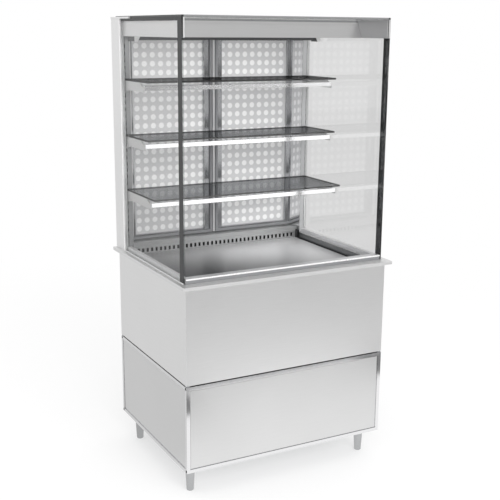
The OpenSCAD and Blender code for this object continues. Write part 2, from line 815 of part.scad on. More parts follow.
// Gland through which the supply enters
module cable_gland() color("dimgray") {
    outer_y = rear_y - panel_recess;
    at = [body_x - 60, outer_y, plinth_h + tube + panel_gap + 22];
    difference() {
        union() {
            rod(at - [0, sheet_t + 14, 0], 20, sheet_t + 14 + 2, "y");
            translate(at)
                rotate([-90, 0, 0])
                    cylinder(d = 30, h = 6, $fn = 6);
            translate(at + [0, 6, 0])
                rotate([-90, 0, 0])
                    cylinder(d1 = 24, d2 = 17, h = 14);
            translate(at - [0, sheet_t + 7, 0])
                rotate([-90, 0, 0])
                    cylinder(d = 30, h = 7, $fn = 6);
        }
        rod(at - [0, sheet_t + 20, 0], 10, 60, "y");
    }
}

// Side pane between the counter and the roof
module side_glass(side) color("lightcyan", 0.4) {
    low = [side < 0 ? -pane_out : pane_in, glass_front_y, counter_h];
    block(low, low + [pane_t, pillar_front_y - glass_front_y, roof_under - counter_h]);
}
module left_side_glass() side_glass(-1);
module right_side_glass() side_glass(1);

// Roof pane on the side panes and the pillars
module glass_roof() color("lightcyan", 0.4)
    block([-pane_out, glass_front_y, roof_under], [pane_out, roof_rear_y, total_h]);

// Folded rear pillars with the clips that hold the roof pane
module rear_pillars() color("gainsboro") {
    clip_z = roof_under - 3;
    clip_h = 8;
    both_sides()
        union() {
            box_tube([pillar_in, pillar_front_y, counter_h], [pillar_out, half_d, roof_under], "z",
                     pillar_wall);
            block([pillar_in, pillar_front_y, roof_under - 2], [pillar_out, half_d, roof_under]);
            block([pane_out, pillar_front_y - clip_reach, clip_z],
                  [pillar_out + 2, pillar_front_y, clip_z + clip_h]);
            block([pillar_out, pillar_front_y, clip_z], [pillar_out + 2, half_d, clip_z + clip_h]);
        }
}

// Slotted uprights that take the hooks of the shelf brackets
module shelf_uprights() color("gray") both_sides()
    difference() {
        box_tube([pillar_in - upright_w, upright_y, counter_h], [pillar_in, upright_y + upright_d, canopy_under],
                 "z", 2);
        for (z = [counter_h + 60 : 30 : canopy_under - 40])
            block([bracket_x - bracket_t - 0.5, upright_y - eps, z],
                  [bracket_x + 0.5, upright_y + 2 + eps, z + 16]);
    }

// Outline of the canopy: sloping fascia with a round shoulder
function canopy_outline(inset) =
    let (y0 = -half_d + canopy_front + inset, y1 = upright_y + upright_d - inset,
         z0 = canopy_under + inset, z1 = roof_under - 1 - inset, shoulder = 26, lean = 32)
    concat([[y1, z1], [y1, z0], [y0, z0]],
           [for (a = [0 : 15 : 90]) [y0 + lean + shoulder * (1 - cos(a)),
                                     z1 - shoulder + shoulder * sin(a)]]);

// Canopy box between the top side plates
module canopy() color("lightgray")
    translate([-plate_in, 0, 0])
        rotate([90, 0, 90])
            difference() {
                linear_extrude(2 * plate_in)
                    polygon(canopy_outline(0));
                translate([0, 0, canopy_t])
                    linear_extrude(2 * plate_in - 2 * canopy_t)
                        polygon(canopy_outline(canopy_t));
            }

// Steel plates along the top of the side panes
module top_side_plates() color("silver") both_sides()
    union() {
        block([plate_in, glass_front_y + 2, canopy_under], [pane_in, pillar_front_y, roof_under]);
        block([plate_in, pillar_front_y, canopy_under], [pillar_in, upright_y + upright_d, roof_under]);
    }

// Dark body of the lamp bar under the canopy
module lamp_housing() color("dimgray") {
    y0 = -half_d + lamp_front;
    end_x = plate_in - 4;
    difference() {
        block([-end_x, y0, canopy_under - lamp_h], [end_x, y0 + lamp_d, canopy_under]);
        block([-end_x + 8, y0 + 6, canopy_under - lamp_h - eps],
              [end_x - 8, y0 + lamp_d - 6, canopy_under - lamp_h + 6]);
    }
    both_sides()
        block([end_x, y0 - 6, canopy_under - lamp_h - 6], [plate_in, y0 + lamp_d + 10, canopy_under]);
}

// Milky cover of the lamp bar
module lamp_cover() color("white") {
    y0 = -half_d + lamp_front;
    end_x = plate_in - 4;
    block([-end_x + 8, y0 + 6, canopy_under - lamp_h + 1], [end_x - 8, y0 + lamp_d - 6, canopy_under - lamp_h + 6]);
}

// Shelf glass of a given depth
module shelf(level, depth) color("dimgray", 0.7) {
    top = shelf_low_h + level * shelf_pitch;
    block([-shelf_x, shelf_rear_y - depth, top - shelf_t], [shelf_x, shelf_rear_y, top]);
}
module lower_shelf() shelf(0, shelf_low_d);
module middle_shelf() shelf(1, shelf_d);
module upper_shelf() shelf(2, shelf_d);

// Bracket plate with a rounded nose and two hooks
module bracket(level, depth) {
    top = shelf_low_h + level * shelf_pitch - shelf_t;
    nose = shelf_rear_y - depth + rail_setback;
    slope = 46;
    round_r = 14;
    slot_z = floor((top - 30 - counter_h - 60) / 30) * 30 + counter_h + 60;
    translate([bracket_x - bracket_t, 0, 0])
        rotate([90, 0, 90])
            linear_extrude(bracket_t)
                polygon(concat(
                    [[upright_y, top]],
                    [for (a = [90 : 15 : 150]) [nose + slope + round_r * cos(a),
                                                top - round_r + round_r * sin(a)]],
                    [[nose + rail_t + 2, top - rail_drop - 4], [nose, top - rail_drop - 4],
                     [nose, top - bracket_h], [upright_y - 60, top - bracket_h],
                     [upright_y, top - bracket_h - 12],
                     [upright_y, slot_z + 3], [upright_y + 5, slot_z + 3], [upright_y + 5, slot_z + 13],
                     [upright_y, slot_z + 13]]));
}
module shelf_brackets() color("silver") both_sides()
    union() {
        bracket(0, shelf_low_d);
        bracket(1, shelf_d);
        bracket(2, shelf_d);
    }

// Front rail between the brackets of a shelf
module rail(level, depth) {
    top = shelf_low_h + level * shelf_pitch - shelf_t;
    nose = shelf_rear_y - depth + rail_setback;
    inner = bracket_x - bracket_t;
    block([-inner, nose, top - rail_drop - rail_h], [inner, nose + rail_t, top - rail_drop]);
    both_sides()
        block([inner - 2, nose + rail_t, top - rail_drop - rail_h], [inner, nose + rail_t + 20, top - rail_drop]);
}
module shelf_rails() color("silver") {
    rail(0, shelf_low_d);
    rail(1, shelf_d);
    rail(2, shelf_d);
}

// Sill under the doors and header above them
module door_surround() color("silver") {
    difference() {
        union() {
            block([-pillar_in, upright_y + upright_d, counter_h], [pillar_in, door_out_y, counter_h + sill_h]);
            block([-pillar_in + upright_w, sill_y, counter_h],
                  [pillar_in - upright_w, upright_y + upright_d, counter_h + sill_h]);
            block([-pillar_in + upright_w, sill_y - ledge, counter_h],
                  [pillar_in - upright_w, sill_y, counter_h + 2 * ledge]);
        }
        both_sides()
            rod([hinge_x, hinge_y, counter_h + sill_h - pin_len], pin_d, pin_len + eps);
    }
    difference() {
        union() {
            block([-pillar_in, upright_y + upright_d, header_z], [pillar_in, door_out_y, roof_under]);
            block([-pillar_in, upright_y + upright_d, canopy_under], [pillar_in, seal_y - 2, header_z]);
        }
        both_sides()
            rod([hinge_x, hinge_y, header_z - eps], pin_d, pin_len + eps);
    }
}

// Hinge pins in the sill and the header
module hinge_pins() color("whitesmoke") both_sides() {
    rod([hinge_x, hinge_y, counter_h + sill_h - pin_len], pin_d, 2 * pin_len);
    rod([hinge_x, hinge_y, header_z - pin_len], pin_d, 2 * pin_len);
}

// Frame of a door leaf with the bores of its pins and the rebate of its panel
module door_frame(side) color("gray") mirror([side < 0 ? 1 : 0, 0, 0])
    difference() {
        block([door_gap / 2, door_in_y, door_low_z], [door_side_x, door_out_y, door_top_z]);
        block([panel_x0, door_in_y - eps, panel_z0], [panel_x1, door_out_y + eps, panel_z1]);
        block([panel_x0 - 8, door_out_y - 3 - door_panel_t, panel_z0 - 8],
              [panel_x1 + 8, door_out_y - 3, panel_z1 + 8]);
        for (z = [door_low_z - eps, door_top_z - pin_len])
            rod([hinge_x, hinge_y, z], pin_d + 2 * fit, pin_len + eps);
        block([door_gap / 2 + 8, door_out_y - 12, handle_z0 - 12],
              [door_gap / 2 + 36, door_out_y + eps, handle_z1 + 12]);
    }
module left_door_frame() door_frame(-1);
module right_door_frame() door_frame(1);

// Panel of a door leaf, held in the frame's rebate
module door_panel(side) color("whitesmoke") mirror([side < 0 ? 1 : 0, 0, 0])
    block([panel_x0 - 8, door_out_y - 3 - door_panel_t, panel_z0 - 8],
          [panel_x1 + 8, door_out_y - 3, panel_z1 + 8]);
module left_door_panel() door_panel(-1);
module right_door_panel() door_panel(1);

// Seal on the inner face of a leaf
module door_seal(side) color("gray") mirror([side < 0 ? 1 : 0, 0, 0]) {
    w = 14;
    x0 = door_gap / 2 + 6;
    x1 = door_side_x - 12;
    difference() {
        block([x0, seal_y, door_low_z + 2], [x1, door_in_y, door_top_z - 2]);
        block([x0 + w, seal_y - eps, door_low_z + 2 + w], [x1 - w, door_in_y + eps, door_top_z - 2 - w]);
    }
}
module left_door_seal() door_seal(-1);
module right_door_seal() door_seal(1);

// Recessed grip bar in the meeting stile
module door_handle(side) color("whitesmoke") mirror([side < 0 ? 1 : 0, 0, 0]) {
    x0 = door_gap / 2 + 8;
    difference() {
        block([x0, door_out_y - 12, handle_z0 - 12], [x0 + 28, door_out_y + 1, handle_z1 + 12]);
        block([x0 + 3, door_out_y - 10, handle_z0], [x0 + 25, door_out_y + 1 + eps, handle_z1]);
    }
    block([x0 + 18, door_out_y - 3, handle_z0], [x0 + 25, door_out_y + 1, handle_z1]);
}
module left_door_handle() door_handle(-1);
module right_door_handle() door_handle(1);

base_frame();
base_plate();
foot_front_left();
foot_front_right();
foot_rear_left();
foot_rear_right();
lower_panels();
rear_panels();
casing_panels();
inner_frame();
countertop();
well_rim();
well_liner();
well_insulation();
display_pan();
air_grille();
evaporator();
fan_plate();
evaporator_fan_left();
evaporator_fan_right();
drain_pipe();
condensate_tray();
compressor();
compressor_mounts();
condenser();
condenser_shroud();
condenser_fan();
refrigerant_pipes();
control_box();
controller();
key_up();
key_down();
power_switch();
light_switch();
cable_gland();
left_side_glass();
right_side_glass();
glass_roof();
rear_pillars();
shelf_uprights();
canopy();
top_side_plates();
lamp_housing();
lamp_cover();
upper_shelf();
middle_shelf();
lower_shelf();
shelf_brackets();
shelf_rails();
door_surround();
hinge_pins();
left_door_frame();
right_door_frame();
left_door_panel();
right_door_panel();
left_door_seal();
right_door_seal();
left_door_handle();
right_door_handle();
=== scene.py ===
"""Looks of a refrigerated self-service display case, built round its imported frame.

Everything is in metres, in the frame's own axes: X to the right seen by a
customer, -Y the customer side, +Y the service side, Z up.
"""

import json
import logging
import math
from collections.abc import Callable
from dataclasses import dataclass, field, replace
from enum import Enum
from functools import partial

import bmesh
import bpy
from mathutils import Matrix, Vector

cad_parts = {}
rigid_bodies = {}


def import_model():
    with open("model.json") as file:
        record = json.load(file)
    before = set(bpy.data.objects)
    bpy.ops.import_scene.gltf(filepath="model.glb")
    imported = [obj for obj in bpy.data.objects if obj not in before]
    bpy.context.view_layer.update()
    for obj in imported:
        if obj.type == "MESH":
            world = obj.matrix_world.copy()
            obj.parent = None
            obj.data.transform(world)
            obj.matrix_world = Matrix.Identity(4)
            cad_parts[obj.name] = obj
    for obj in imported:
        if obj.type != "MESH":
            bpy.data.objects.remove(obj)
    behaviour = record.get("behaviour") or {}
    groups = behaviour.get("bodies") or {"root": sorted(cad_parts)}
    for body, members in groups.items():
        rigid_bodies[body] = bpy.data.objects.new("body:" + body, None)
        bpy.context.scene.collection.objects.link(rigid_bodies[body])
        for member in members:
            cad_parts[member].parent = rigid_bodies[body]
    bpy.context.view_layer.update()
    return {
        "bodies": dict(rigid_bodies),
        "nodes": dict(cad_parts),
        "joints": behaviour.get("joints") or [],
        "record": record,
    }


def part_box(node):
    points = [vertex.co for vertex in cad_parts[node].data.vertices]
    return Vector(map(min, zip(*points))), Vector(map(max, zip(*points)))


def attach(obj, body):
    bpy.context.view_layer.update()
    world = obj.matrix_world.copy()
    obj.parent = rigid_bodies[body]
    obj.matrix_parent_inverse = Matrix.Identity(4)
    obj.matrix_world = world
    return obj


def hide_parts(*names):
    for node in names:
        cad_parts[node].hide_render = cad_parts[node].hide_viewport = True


MM = 0.001

log = logging.getLogger("display_case")

Point = tuple[float, float, float]
Outline = list[tuple[float, float]]
Block = tuple[Point, Point]
Edge = tuple[str, float, float]
Socket = bpy.types.NodeSocket
# Adds a node to the tree that it is bound to
Adder = Callable[..., Socket]
Piece = bpy.types.Object
MeshData = bmesh.types.BMesh


class Axis(Enum):
    """Axis of the frame."""

    X = 0
    Y = 1
    Z = 2


Prism = tuple[Outline, Axis, float, float]


# Glass, fired print, paint and moulded plastic are all close to it
GLASS_IOR = 1.5


# Helpers for nodes and colours


def linear(hex_colour: str, gain: float = 1.0) -> tuple[float, float, float, float]:
    """Turns an sRGB hex colour into linear values.

    Args:
        hex_colour: Colour such as "#c8c8c9".
        gain: Share of its light that is kept.

    Returns:
        Red, green, blue and alpha, linear.
    """
    values = [int(hex_colour[i : i + 2], 16) / 255 for i in (1, 3, 5)]
    red, green, blue = (v / 12.92 if v <= 0.04045 else ((v + 0.055) / 1.055) ** 2.4 for v in values)
    return red * gain, green * gain, blue * gain, 1.0


def add_node(
    tree: bpy.types.NodeTree,
    kind: str,
    inputs: dict[str, object] | list[object] | None = None,
    out: str | int = 0,
    **settings: object,
) -> Socket | None:
    """Adds one shader node to a tree, sets it up and links it.

    A mix takes its share at place 0, numbers at 2 and 3 and colours at 6 and 7.

    Args:
        tree: Node tree that takes the node.
        kind: Type name of the node, without its "ShaderNode".
        inputs: Value or output socket for each input, by name, place or in their order.
        out: Name or place of the output that is wanted.
        **settings: Properties of the node itself.

    Returns:
        That output, or None for a node without outputs.
    """
    node = tree.nodes.new("ShaderNode" + kind)
    for name, value in settings.items():
        setattr(node, name, value)
    pairs = inputs.items() if isinstance(inputs, dict) else enumerate(inputs or [])
    for key, value in pairs:
        if isinstance(value, bpy.types.NodeSocket):
            tree.links.new(value, node.inputs[key])
        else:
            node.inputs[key].default_value = value
    return node.outputs[out] if len(node.outputs) else None


def soft_zone(
    node: Adder, parts: dict[str, Socket], spans: tuple[Edge, ...], level: float = 1.0
) -> Socket:
    """Gives a level inside a zone with soft edges, and nothing outside.

    Args:
        node: Adds a node to the tree.
        parts: Measures of a point by name, such as its coordinates.
        spans: Measure of each edge, where it begins, and where the zone is full.
        level: Value inside the zone.

    Returns:
        The masked level.
    """
    for axis, start, end in spans:
        inside = node("MapRange", [parts[axis], start, end], interpolation_type="SMOOTHSTEP")
        level = node("Math", [level, inside], operation="MULTIPLY")
    return level


# Finishes


@dataclass(frozen=True)
class Finish:
    """A finish, named for its real material."""

    name: str

    def shader(self, node: Adder) -> Socket:
        """Builds what the eye sees of the finish, by nodes that it adds to a tree."""
        raise NotImplementedError

    def material(self) -> bpy.types.Material:
        """Builds the material.

        Returns:
            The material.
        """
        material = bpy.data.materials.new(self.name)
        material.use_nodes = True
        material.node_tree.nodes.clear()
        node = partial(add_node, material.node_tree)
        node("OutputMaterial", [self.shader(node)])
        return material


@dataclass(frozen=True)
class BrushedSteel(Finish):
    """Stainless steel sheet, belt-brushed to a satin grain.

    The grain gives a soft, slightly streaked sheen that blurs what it mirrors.
    """

    colour: str
    roughness: float = 0.32
    grain: Axis = Axis.X
    # Upright sheets keep their lines level on their side faces too
    upright: bool = False
    # Real brush lines lie 0.3 mm apart; they are drawn coarser to show at all
    line_mm: float = 1.6
    line_length_mm: float = 90.0
    line_relief_mm: float = 0.3
    tone: float = 0.05
    # Below 1 the fine scratches scatter a part of the light evenly
    metallic: float = 1.0
    # What lines and wiping smears add to the roughness, and smears to a metre
    line_rough: tuple[float, float] = (-0.05, 0.06)
    smear_rough: tuple[float, float] = (-0.02, 0.03)
    smears: float = 2.6
    # Painted shade: the colour that the sheet darkens to towards its front left, the span
    # over which that darkening fades in, and the way along which it is measured
    dulled: str = ""
    dulled_span: tuple[float, float] = (0.0, 0.0)
    dulled_way: Point = (-0.6, -0.8, 0.0)

    def shader(self, node: Adder) -> Socket:
        """Builds the brushed metal.

        Args:
            node: Adds a node to the material's tree.

        Returns:
            Its shader output.
        """
        place = node("TexCoord", out="Object")
        stretched_axes = {self.grain, Axis.X, Axis.Y} if self.upright else {self.grain}
        scale = [
            1 / ((self.line_length_mm if axis in stretched_axes else self.line_mm) * MM)
            for axis in Axis
        ]
        stretched = node("Mapping", {"Vector": place, "Scale": scale})
        lines = node(
            "TexNoise", {"Vector": stretched, "Scale": 1.0, "Detail": 3.0, "Roughness": 0.6}
        )
        smears = node("TexNoise", {"Vector": place, "Scale": self.smears, "Detail": 2.0})
        between = linear(self.colour, 1 - 2 * self.tone)
        colour = node("Mix", {0: lines, 6: between, 7: linear(self.colour)}, 2, data_type="RGBA")
        # Painted shade: the sheet darkens towards its front left
        if self.dulled:
            reach = node("VectorMath", [place, self.dulled_way], "Value", operation="DOT_PRODUCT")
            share = soft_zone(node, {"reach": reach}, (("reach", *self.dulled_span),))
            colour = node("Mix", {0: share, 6: colour, 7: linear(self.dulled)}, 2, data_type="RGBA")
        low, high = (self.roughness + more for more in self.line_rough)
        rough = node("MapRange", [lines, 0, 1, low, high])
        low, high = self.smear_rough
        smear = node(
            "MapRange",
            {"Value": smears, "From Min": 0.35, "From Max": 0.65, "To Min": low, "To Max": high},
        )
        total = node("Math", [rough, smear], operation="ADD")
        relief = self.line_relief_mm * MM
        bump = node("Bump", {"Height": lines, "Strength": 0.06, "Distance": relief})
        return node("BsdfPrincipled", {
            "Base Color": colour, "Metallic": self.metallic, "Roughness": total, "Normal": bump,
        })


@dataclass(frozen=True)
class PolishedSteel(Finish):
    """Stainless steel, mirror-polished, with faint wiping haze."""

    colour: str = "#dedee0"
    roughness: float = 0.12
    haze_mm: float = 60.0
    haze_relief_mm: float = 1.0

    def shader(self, node: Adder) -> Socket:
        """Builds the polished metal.

        Args:
            node: Adds a node to the material's tree.

        Returns:
            Its shader output.
        """
        place = node("TexCoord", out="Object")
        haze = node("TexNoise", {"Vector": place, "Scale": 1 / (self.haze_mm * MM), "Detail": 4.0})
        low, high = self.roughness * 0.7, self.roughness * 1.4
        rough = node("MapRange", [haze, 0, 1, low, high])
        relief = self.haze_relief_mm * MM
        bump = node("Bump", {"Height": haze, "Strength": 0.03, "Distance": relief})
        return node("BsdfPrincipled", {
            "Base Color": linear(self.colour), "Metallic": 1.0, "Roughness": rough, "Normal": bump,
        })


@dataclass(frozen=True)
class SpangledZinc(Finish):
    """Hot-dip galvanised sheet: flat crystals of slightly different greys."""

    light: str = "#b4b7ba"
    dark: str = "#8e9194"
    crystal_mm: float = 9.0
    roughness: tuple[float, float] = (0.32, 0.5)

    def shader(self, node: Adder) -> Socket:
        """Builds the zinc coat.

        Args:
            node: Adds a node to the material's tree.

        Returns:
            Its shader output.
        """
        place = node("TexCoord", out="Object")
        crystals = node(
            "TexVoronoi", {"Vector": place, "Scale": 1 / (self.crystal_mm * MM)}, "Color",
            feature="F1",
        )
        tone = node("RGBToBW", [crystals])
        colour = node(
            "Mix", {0: tone, 6: linear(self.dark), 7: linear(self.light)}, 2, data_type="RGBA"
        )
        low, high = self.roughness
        rough = node("MapRange", [tone, 0, 1, low, high])
        return node("BsdfPrincipled", {"Base Color": colour, "Metallic": 1.0, "Roughness": rough})


@dataclass(frozen=True)
class FloatGlass(Finish):
    """Toughened clear float glass, seen with its reflections.

    Shadow rays pass through it, so that the goods behind it stay lit.
    """

    tint: str = "#f2f2f2"
    shadow: str = "#ececec"

    def shader(self, node: Adder) -> Socket:
        """Builds the glass.

        Args:
            node: Adds a node to the material's tree.

        Returns:
            Its shader output.
        """
        glass = node("BsdfPrincipled", {
            "Base Color": linear(self.tint), "Roughness": 0.0, "IOR": GLASS_IOR,
            "Transmission Weight": 1.0,
        })
        path = node("LightPath").node.outputs
        plain = node("Math", [path["Is Shadow Ray"], path["Is Diffuse Ray"]], operation="MAXIMUM")
        through = node("BsdfTransparent", {"Color": linear(self.shadow)})
        return node("MixShader", [plain, glass, through])


@dataclass(frozen=True)
class CoatedGlass(Finish):
    """Sheet glass with an anti-reflective coat, clear or tinted, with ground edges.

    It mirrors the room only faintly, and its edges look dark.
    """

    across: Axis
    tint: str
    edge: str
    gloss: float
    roughness: float
    shadow: str

    def shader(self, node: Adder) -> Socket:
        """Builds the coated glass.

        Args:
            node: Adds a node to the material's tree.

        Returns:
            Its shader output.
        """
        shadow_ray = node("LightPath", out="Is Shadow Ray")
        normal = node("NewGeometry", out="True Normal")
        slope = node("SeparateXYZ", [normal], self.across.value)
        level = node("Math", [slope], operation="ABSOLUTE")
        flat = node("Math", [level, 0.5], operation="GREATER_THAN")
        tinted = node(
            "Mix", {0: flat, 6: linear(self.edge), 7: linear(self.tint)}, 2, data_type="RGBA"
        )
        seen = node("Mix", {0: shadow_ray, 6: tinted, 7: linear(self.shadow)}, 2, data_type="RGBA")
        through = node("BsdfTransparent", {"Color": seen})
        gloss = node("BsdfAnisotropic", {"Color": linear("#f4f4f4"), "Roughness": self.roughness})
        shine = node("Math", [1.0, shadow_ray], operation="SUBTRACT")
        share = node("Math", [shine, self.gloss], operation="MULTIPLY")
        return node("MixShader", [share, through, gloss])


@dataclass(frozen=True)
class PrintedGlass(Finish):
    """Clear pane with a black ceramic print along its front and top edges.

    The fired print is dense and slightly satin, and hides what lies behind it.
    """

    glass: Finish
    outer_x: float
    front_y: float
    top_z: float
    front_band: float = 0.038
    top_band: float = 0.013
    print_depth: float = 0.0012
    print_colour: str = "#303132"
    print_gloss: float = 0.2

    def shader(self, node: Adder) -> Socket:
        """Builds the pane with its print on the outer face.

        Args:
            node: Adds a node to the material's tree.

        Returns:
            Its shader output.
        """
        place = node("TexCoord", out="Object")
        parts = node("SeparateXYZ", [place]).node.outputs
        front = node("Math", [parts["Y"], self.front_y + self.front_band], operation="LESS_THAN")
        top = node("Math", [parts["Z"], self.top_z - self.top_band], operation="GREATER_THAN")
        border = node("Math", [front, top], operation="MAXIMUM")
        face = node("Math", [parts["X"], self.outer_x, self.print_depth], operation="COMPARE")
        printed = node("Math", [border, face], operation="MULTIPLY")
        enamel = node("BsdfPrincipled", {
            "Base Color": linear(self.print_colour), "Roughness": 0.25, "IOR": GLASS_IOR,
            "Specular IOR Level": self.print_gloss,
        })
        return node("MixShader", [printed, self.glass.shader(node), enamel])


@dataclass(frozen=True)
class BorderedRoof(Finish):
    """Clear roof pane with a black print at its sides and a grey one at its front.

    The print hides the glued joint over the side panes.
    """

    half_width: float
    front_y: float
    band: float = 0.0095
    front_band: float = 0.03
    print_colour: str = "#262728"
    front_colour: str = "#7a7b7c"

    def shader(self, node: Adder) -> Socket:
        """Builds the pane with its borders.

        Args:
            node: Adds a node to the material's tree.

        Returns:
            Its shader output.
        """
        place = node("TexCoord", out="Object")
        parts = node("SeparateXYZ", [place]).node.outputs
        width = node("Math", [parts["X"]], operation="ABSOLUTE")
        sides = node("Math", [width, self.half_width - self.band], operation="GREATER_THAN")
        front = node("Math", [parts["Y"], self.front_y + self.front_band], operation="LESS_THAN")
        colour = node(
            "Mix", {0: sides, 6: linear(self.front_colour), 7: linear(self.print_colour)}, 2,
            data_type="RGBA",
        )
        border = node("Math", [sides, front], operation="MAXIMUM")
        enamel = node("BsdfPrincipled", {"Base Color": colour, "Roughness": 0.25, "IOR": GLASS_IOR})
        return node("MixShader", [border, CLEAR.shader(node), enamel])


@dataclass(frozen=True)
class DottedPanel(Finish):
    """Coated door panel with a regular print of pale round dots.

    The soft-edged dots stand out lightly from a grey ground.
    """

    first_x: float
    first_z: float
    pitch_x: float
    pitch_z: float
    radius: float = 0.0126
    ground: str = "#cfcfd0"
    dot: str = "#f4f4f4"
    edge_mm: float = 2.2
    mottle_mm: float = 2.5
    relief_mm: float = 0.2

    def shader(self, node: Adder) -> Socket:
        """Builds the printed panel.

        Args:
            node: Adds a node to the material's tree.

        Returns:
            Its shader output.
        """
        place = node("TexCoord", out="Object")
        parts = node("SeparateXYZ", [place]).node.outputs
        squares = []
        for axis, first, pitch in (
            ("X", self.first_x, self.pitch_x),
            ("Z", self.first_z, self.pitch_z),
        ):
            value = parts[axis]
            for operation, by in (
                ("SUBTRACT", first - pitch / 2),
                ("FLOORED_MODULO", pitch),
                ("SUBTRACT", pitch / 2),
                ("POWER", 2.0),
            ):
                value = node("Math", [value, by], operation=operation)
            squares.append(value)
        total = node("Math", [squares[0], squares[1]], operation="ADD")
        distance = node("Math", [total], operation="SQRT")
        # The dot fades out over its edge
        edge = (self.radius + self.edge_mm * MM, self.radius - self.edge_mm * MM)
        inside = soft_zone(node, {"distance": distance}, (("distance", *edge),))
        mottle = node(
            "TexNoise", {"Vector": place, "Scale": 1 / (self.mottle_mm * MM), "Detail": 2.0}
        )
        colour = node(
            "Mix", {0: inside, 6: linear(self.ground), 7: linear(self.dot)}, 2, data_type="RGBA"
        )
        relief = self.relief_mm * MM
        bump = node("Bump", {"Height": mottle, "Strength": 0.05, "Distance": relief})
        return node("BsdfPrincipled", {"Base Color": colour, "Roughness": 0.35, "Normal": bump})


@dataclass(frozen=True)
class Coating(Finish):
    """Opaque dielectric surface: stove enamel, moulded plastic, rubber or foam.

    A fine grain gives it the slight orange peel or mould texture of the real one.
    """

    colour: str
    roughness: float
    grain_mm: float = 0.8
    grain: float = 0.15
    relief_mm: float = 0.2
    # Paler and darker clouds to a metre, and how much darker they get
    clouds: float = 9.0
    tone: float = 0.06

    def shader(self, node: Adder) -> Socket:
        """Builds the coating.

        Args:
            node: Adds a node to the material's tree.

        Returns:
            Its shader output.
        """
        place = node("TexCoord", out="Object")
        grain = node(
            "TexNoise", {"Vector": place, "Scale": 1 / (self.grain_mm * MM), "Detail": 3.0}
        )
        clouds = node("TexNoise", {"Vector": place, "Scale": self.clouds, "Detail": 3.0})
        darker = linear(self.colour, 1 - self.tone)
        colour = node("Mix", {0: clouds, 6: darker, 7: linear(self.colour)}, 2, data_type="RGBA")
        low, high = self.roughness * 0.88, self.roughness * 1.1
        rough = node("MapRange", [grain, 0, 1, low, high])
        relief = self.relief_mm * MM
        bump = node("Bump", {"Height": grain, "Strength": self.grain, "Distance": relief})
        return node(
            "BsdfPrincipled",
            {"Base Color": colour, "Roughness": rough, "IOR": GLASS_IOR, "Normal": bump},
        )


@dataclass(frozen=True)
class DrawnMetal(Finish):
    """Plain metal that was drawn, cast or pressed, made slightly dull by handling."""

    colour: str
    dull: str
    roughness: float
    patch_mm: float = 25.0

    def shader(self, node: Adder) -> Socket:
        """Builds the metal.

        Args:
            node: Adds a node to the material's tree.

        Returns:
            Its shader output.
        """
        place = node("TexCoord", out="Object")
        patches = node(
            "TexNoise", {"Vector": place, "Scale": 1 / (self.patch_mm * MM), "Detail": 4.0}
        )
        colour = node(
            "Mix", {0: patches, 6: linear(self.dull), 7: linear(self.colour)}, 2, data_type="RGBA"
        )
        low, high = self.roughness + 0.1, self.roughness - 0.05
        rough = node("MapRange", [patches, 0, 1, low, high])
        return node("BsdfPrincipled", {"Base Color": colour, "Metallic": 1.0, "Roughness": rough})


SATIN = BrushedSteel("satin_stainless_sheet", "#dcdcdc", upright=True)
SATIN_CASING = BrushedSteel("satin_stainless_casing", "#ececec", upright=True)
SATIN_PANEL = BrushedSteel("satin_stainless_inset_panel", "#dddddd", upright=True)
SATIN_SHADED = BrushedSteel("satin_stainless_right_plate", "#dcdcdd", upright=True)
# Painted shade: darker steel for the canopy's top fold, standing in for the shade under the roof's
# edge
SHADED_FOLD = BrushedSteel("satin_stainless_top_fold", "#a0a1a2", 0.3)
# Painted shade: darker steel for the walls down in the well
SHADED_WELL = BrushedSteel("satin_stainless_well_wall", "#8c8d8e", 0.3, upright=True)
SATIN_PALE = BrushedSteel("satin_stainless_pillar", "#e8e8e8", upright=True, metallic=0.6)
SATIN_RIM = BrushedSteel("satin_stainless_rim", "#dadadb", 0.3, upright=True, metallic=0.55)
SATIN_FLAT = BrushedSteel("satin_stainless_counter", "#e6e6e6", 0.46, metallic=0.8)
SATIN_INNER = BrushedSteel("satin_stainless_interior", "#d6d7d7", 0.36, upright=True, metallic=0.8)
SATIN_SLOTTED = BrushedSteel("satin_stainless_slotted_upright", "#a2a3a4", 0.3, Axis.Z)
# The pan gets painted shade, darker towards its front left
SATIN_PAN = BrushedSteel(
    "satin_stainless_pan", "#e4e4e5", 0.3, Axis.Y, tone=0.06, metallic=0.6,
    dulled="#434445", dulled_span=(-0.24, 0.34),
)
# Painted highlight: near-white rolled edges stand in for the light that glints along them
HIGHLIGHT_EDGE = BrushedSteel("bright_rolled_edge", "#fcfcfc", 0.25, Axis.Z, metallic=0.35)
# Painted shade and painted light: darker and paler copies of the cable covers' steel
SHADED_COVER = BrushedSteel("satin_stainless_cable_cover", "#9a9b9c", 0.35, Axis.Z, metallic=0.4)
LIT_COVER = BrushedSteel("pale_stainless_cable_cover", "#c2c3c4", 0.35, Axis.Z, metallic=0.4)
BEAD = BrushedSteel("silver_anodised_bead", "#f0f0f0", 0.3, Axis.Z, metallic=0.5)
ANODISED = BrushedSteel("anodised_aluminium", "#b4b5b7", 0.24, Axis.Z, line_mm=1.2)
BRIGHT_RAIL = PolishedSteel("bright_drawn_aluminium", "#f1f1f2")
BRIGHT_FRAME = PolishedSteel("bright_polished_frame_tube", "#dededf", 0.09)
MIRROR = PolishedSteel("mirror_polished_reveal", "#e9e9ea", 0.07)
TURNED = PolishedSteel("turned_stainless_foot", "#b2b3b4", 0.2)
POLISHED = PolishedSteel("polished_stainless")
ZINC = SpangledZinc("galvanised_sheet")
CLEAR = FloatGlass("clear_toughened_glass")
SMOKED = CoatedGlass(
    "grey_tinted_glass", Axis.Z, tint="#cdcecf", edge="#3c3d3e", gloss=0.11, roughness=0.12,
    shadow="#d0d1d1",
)
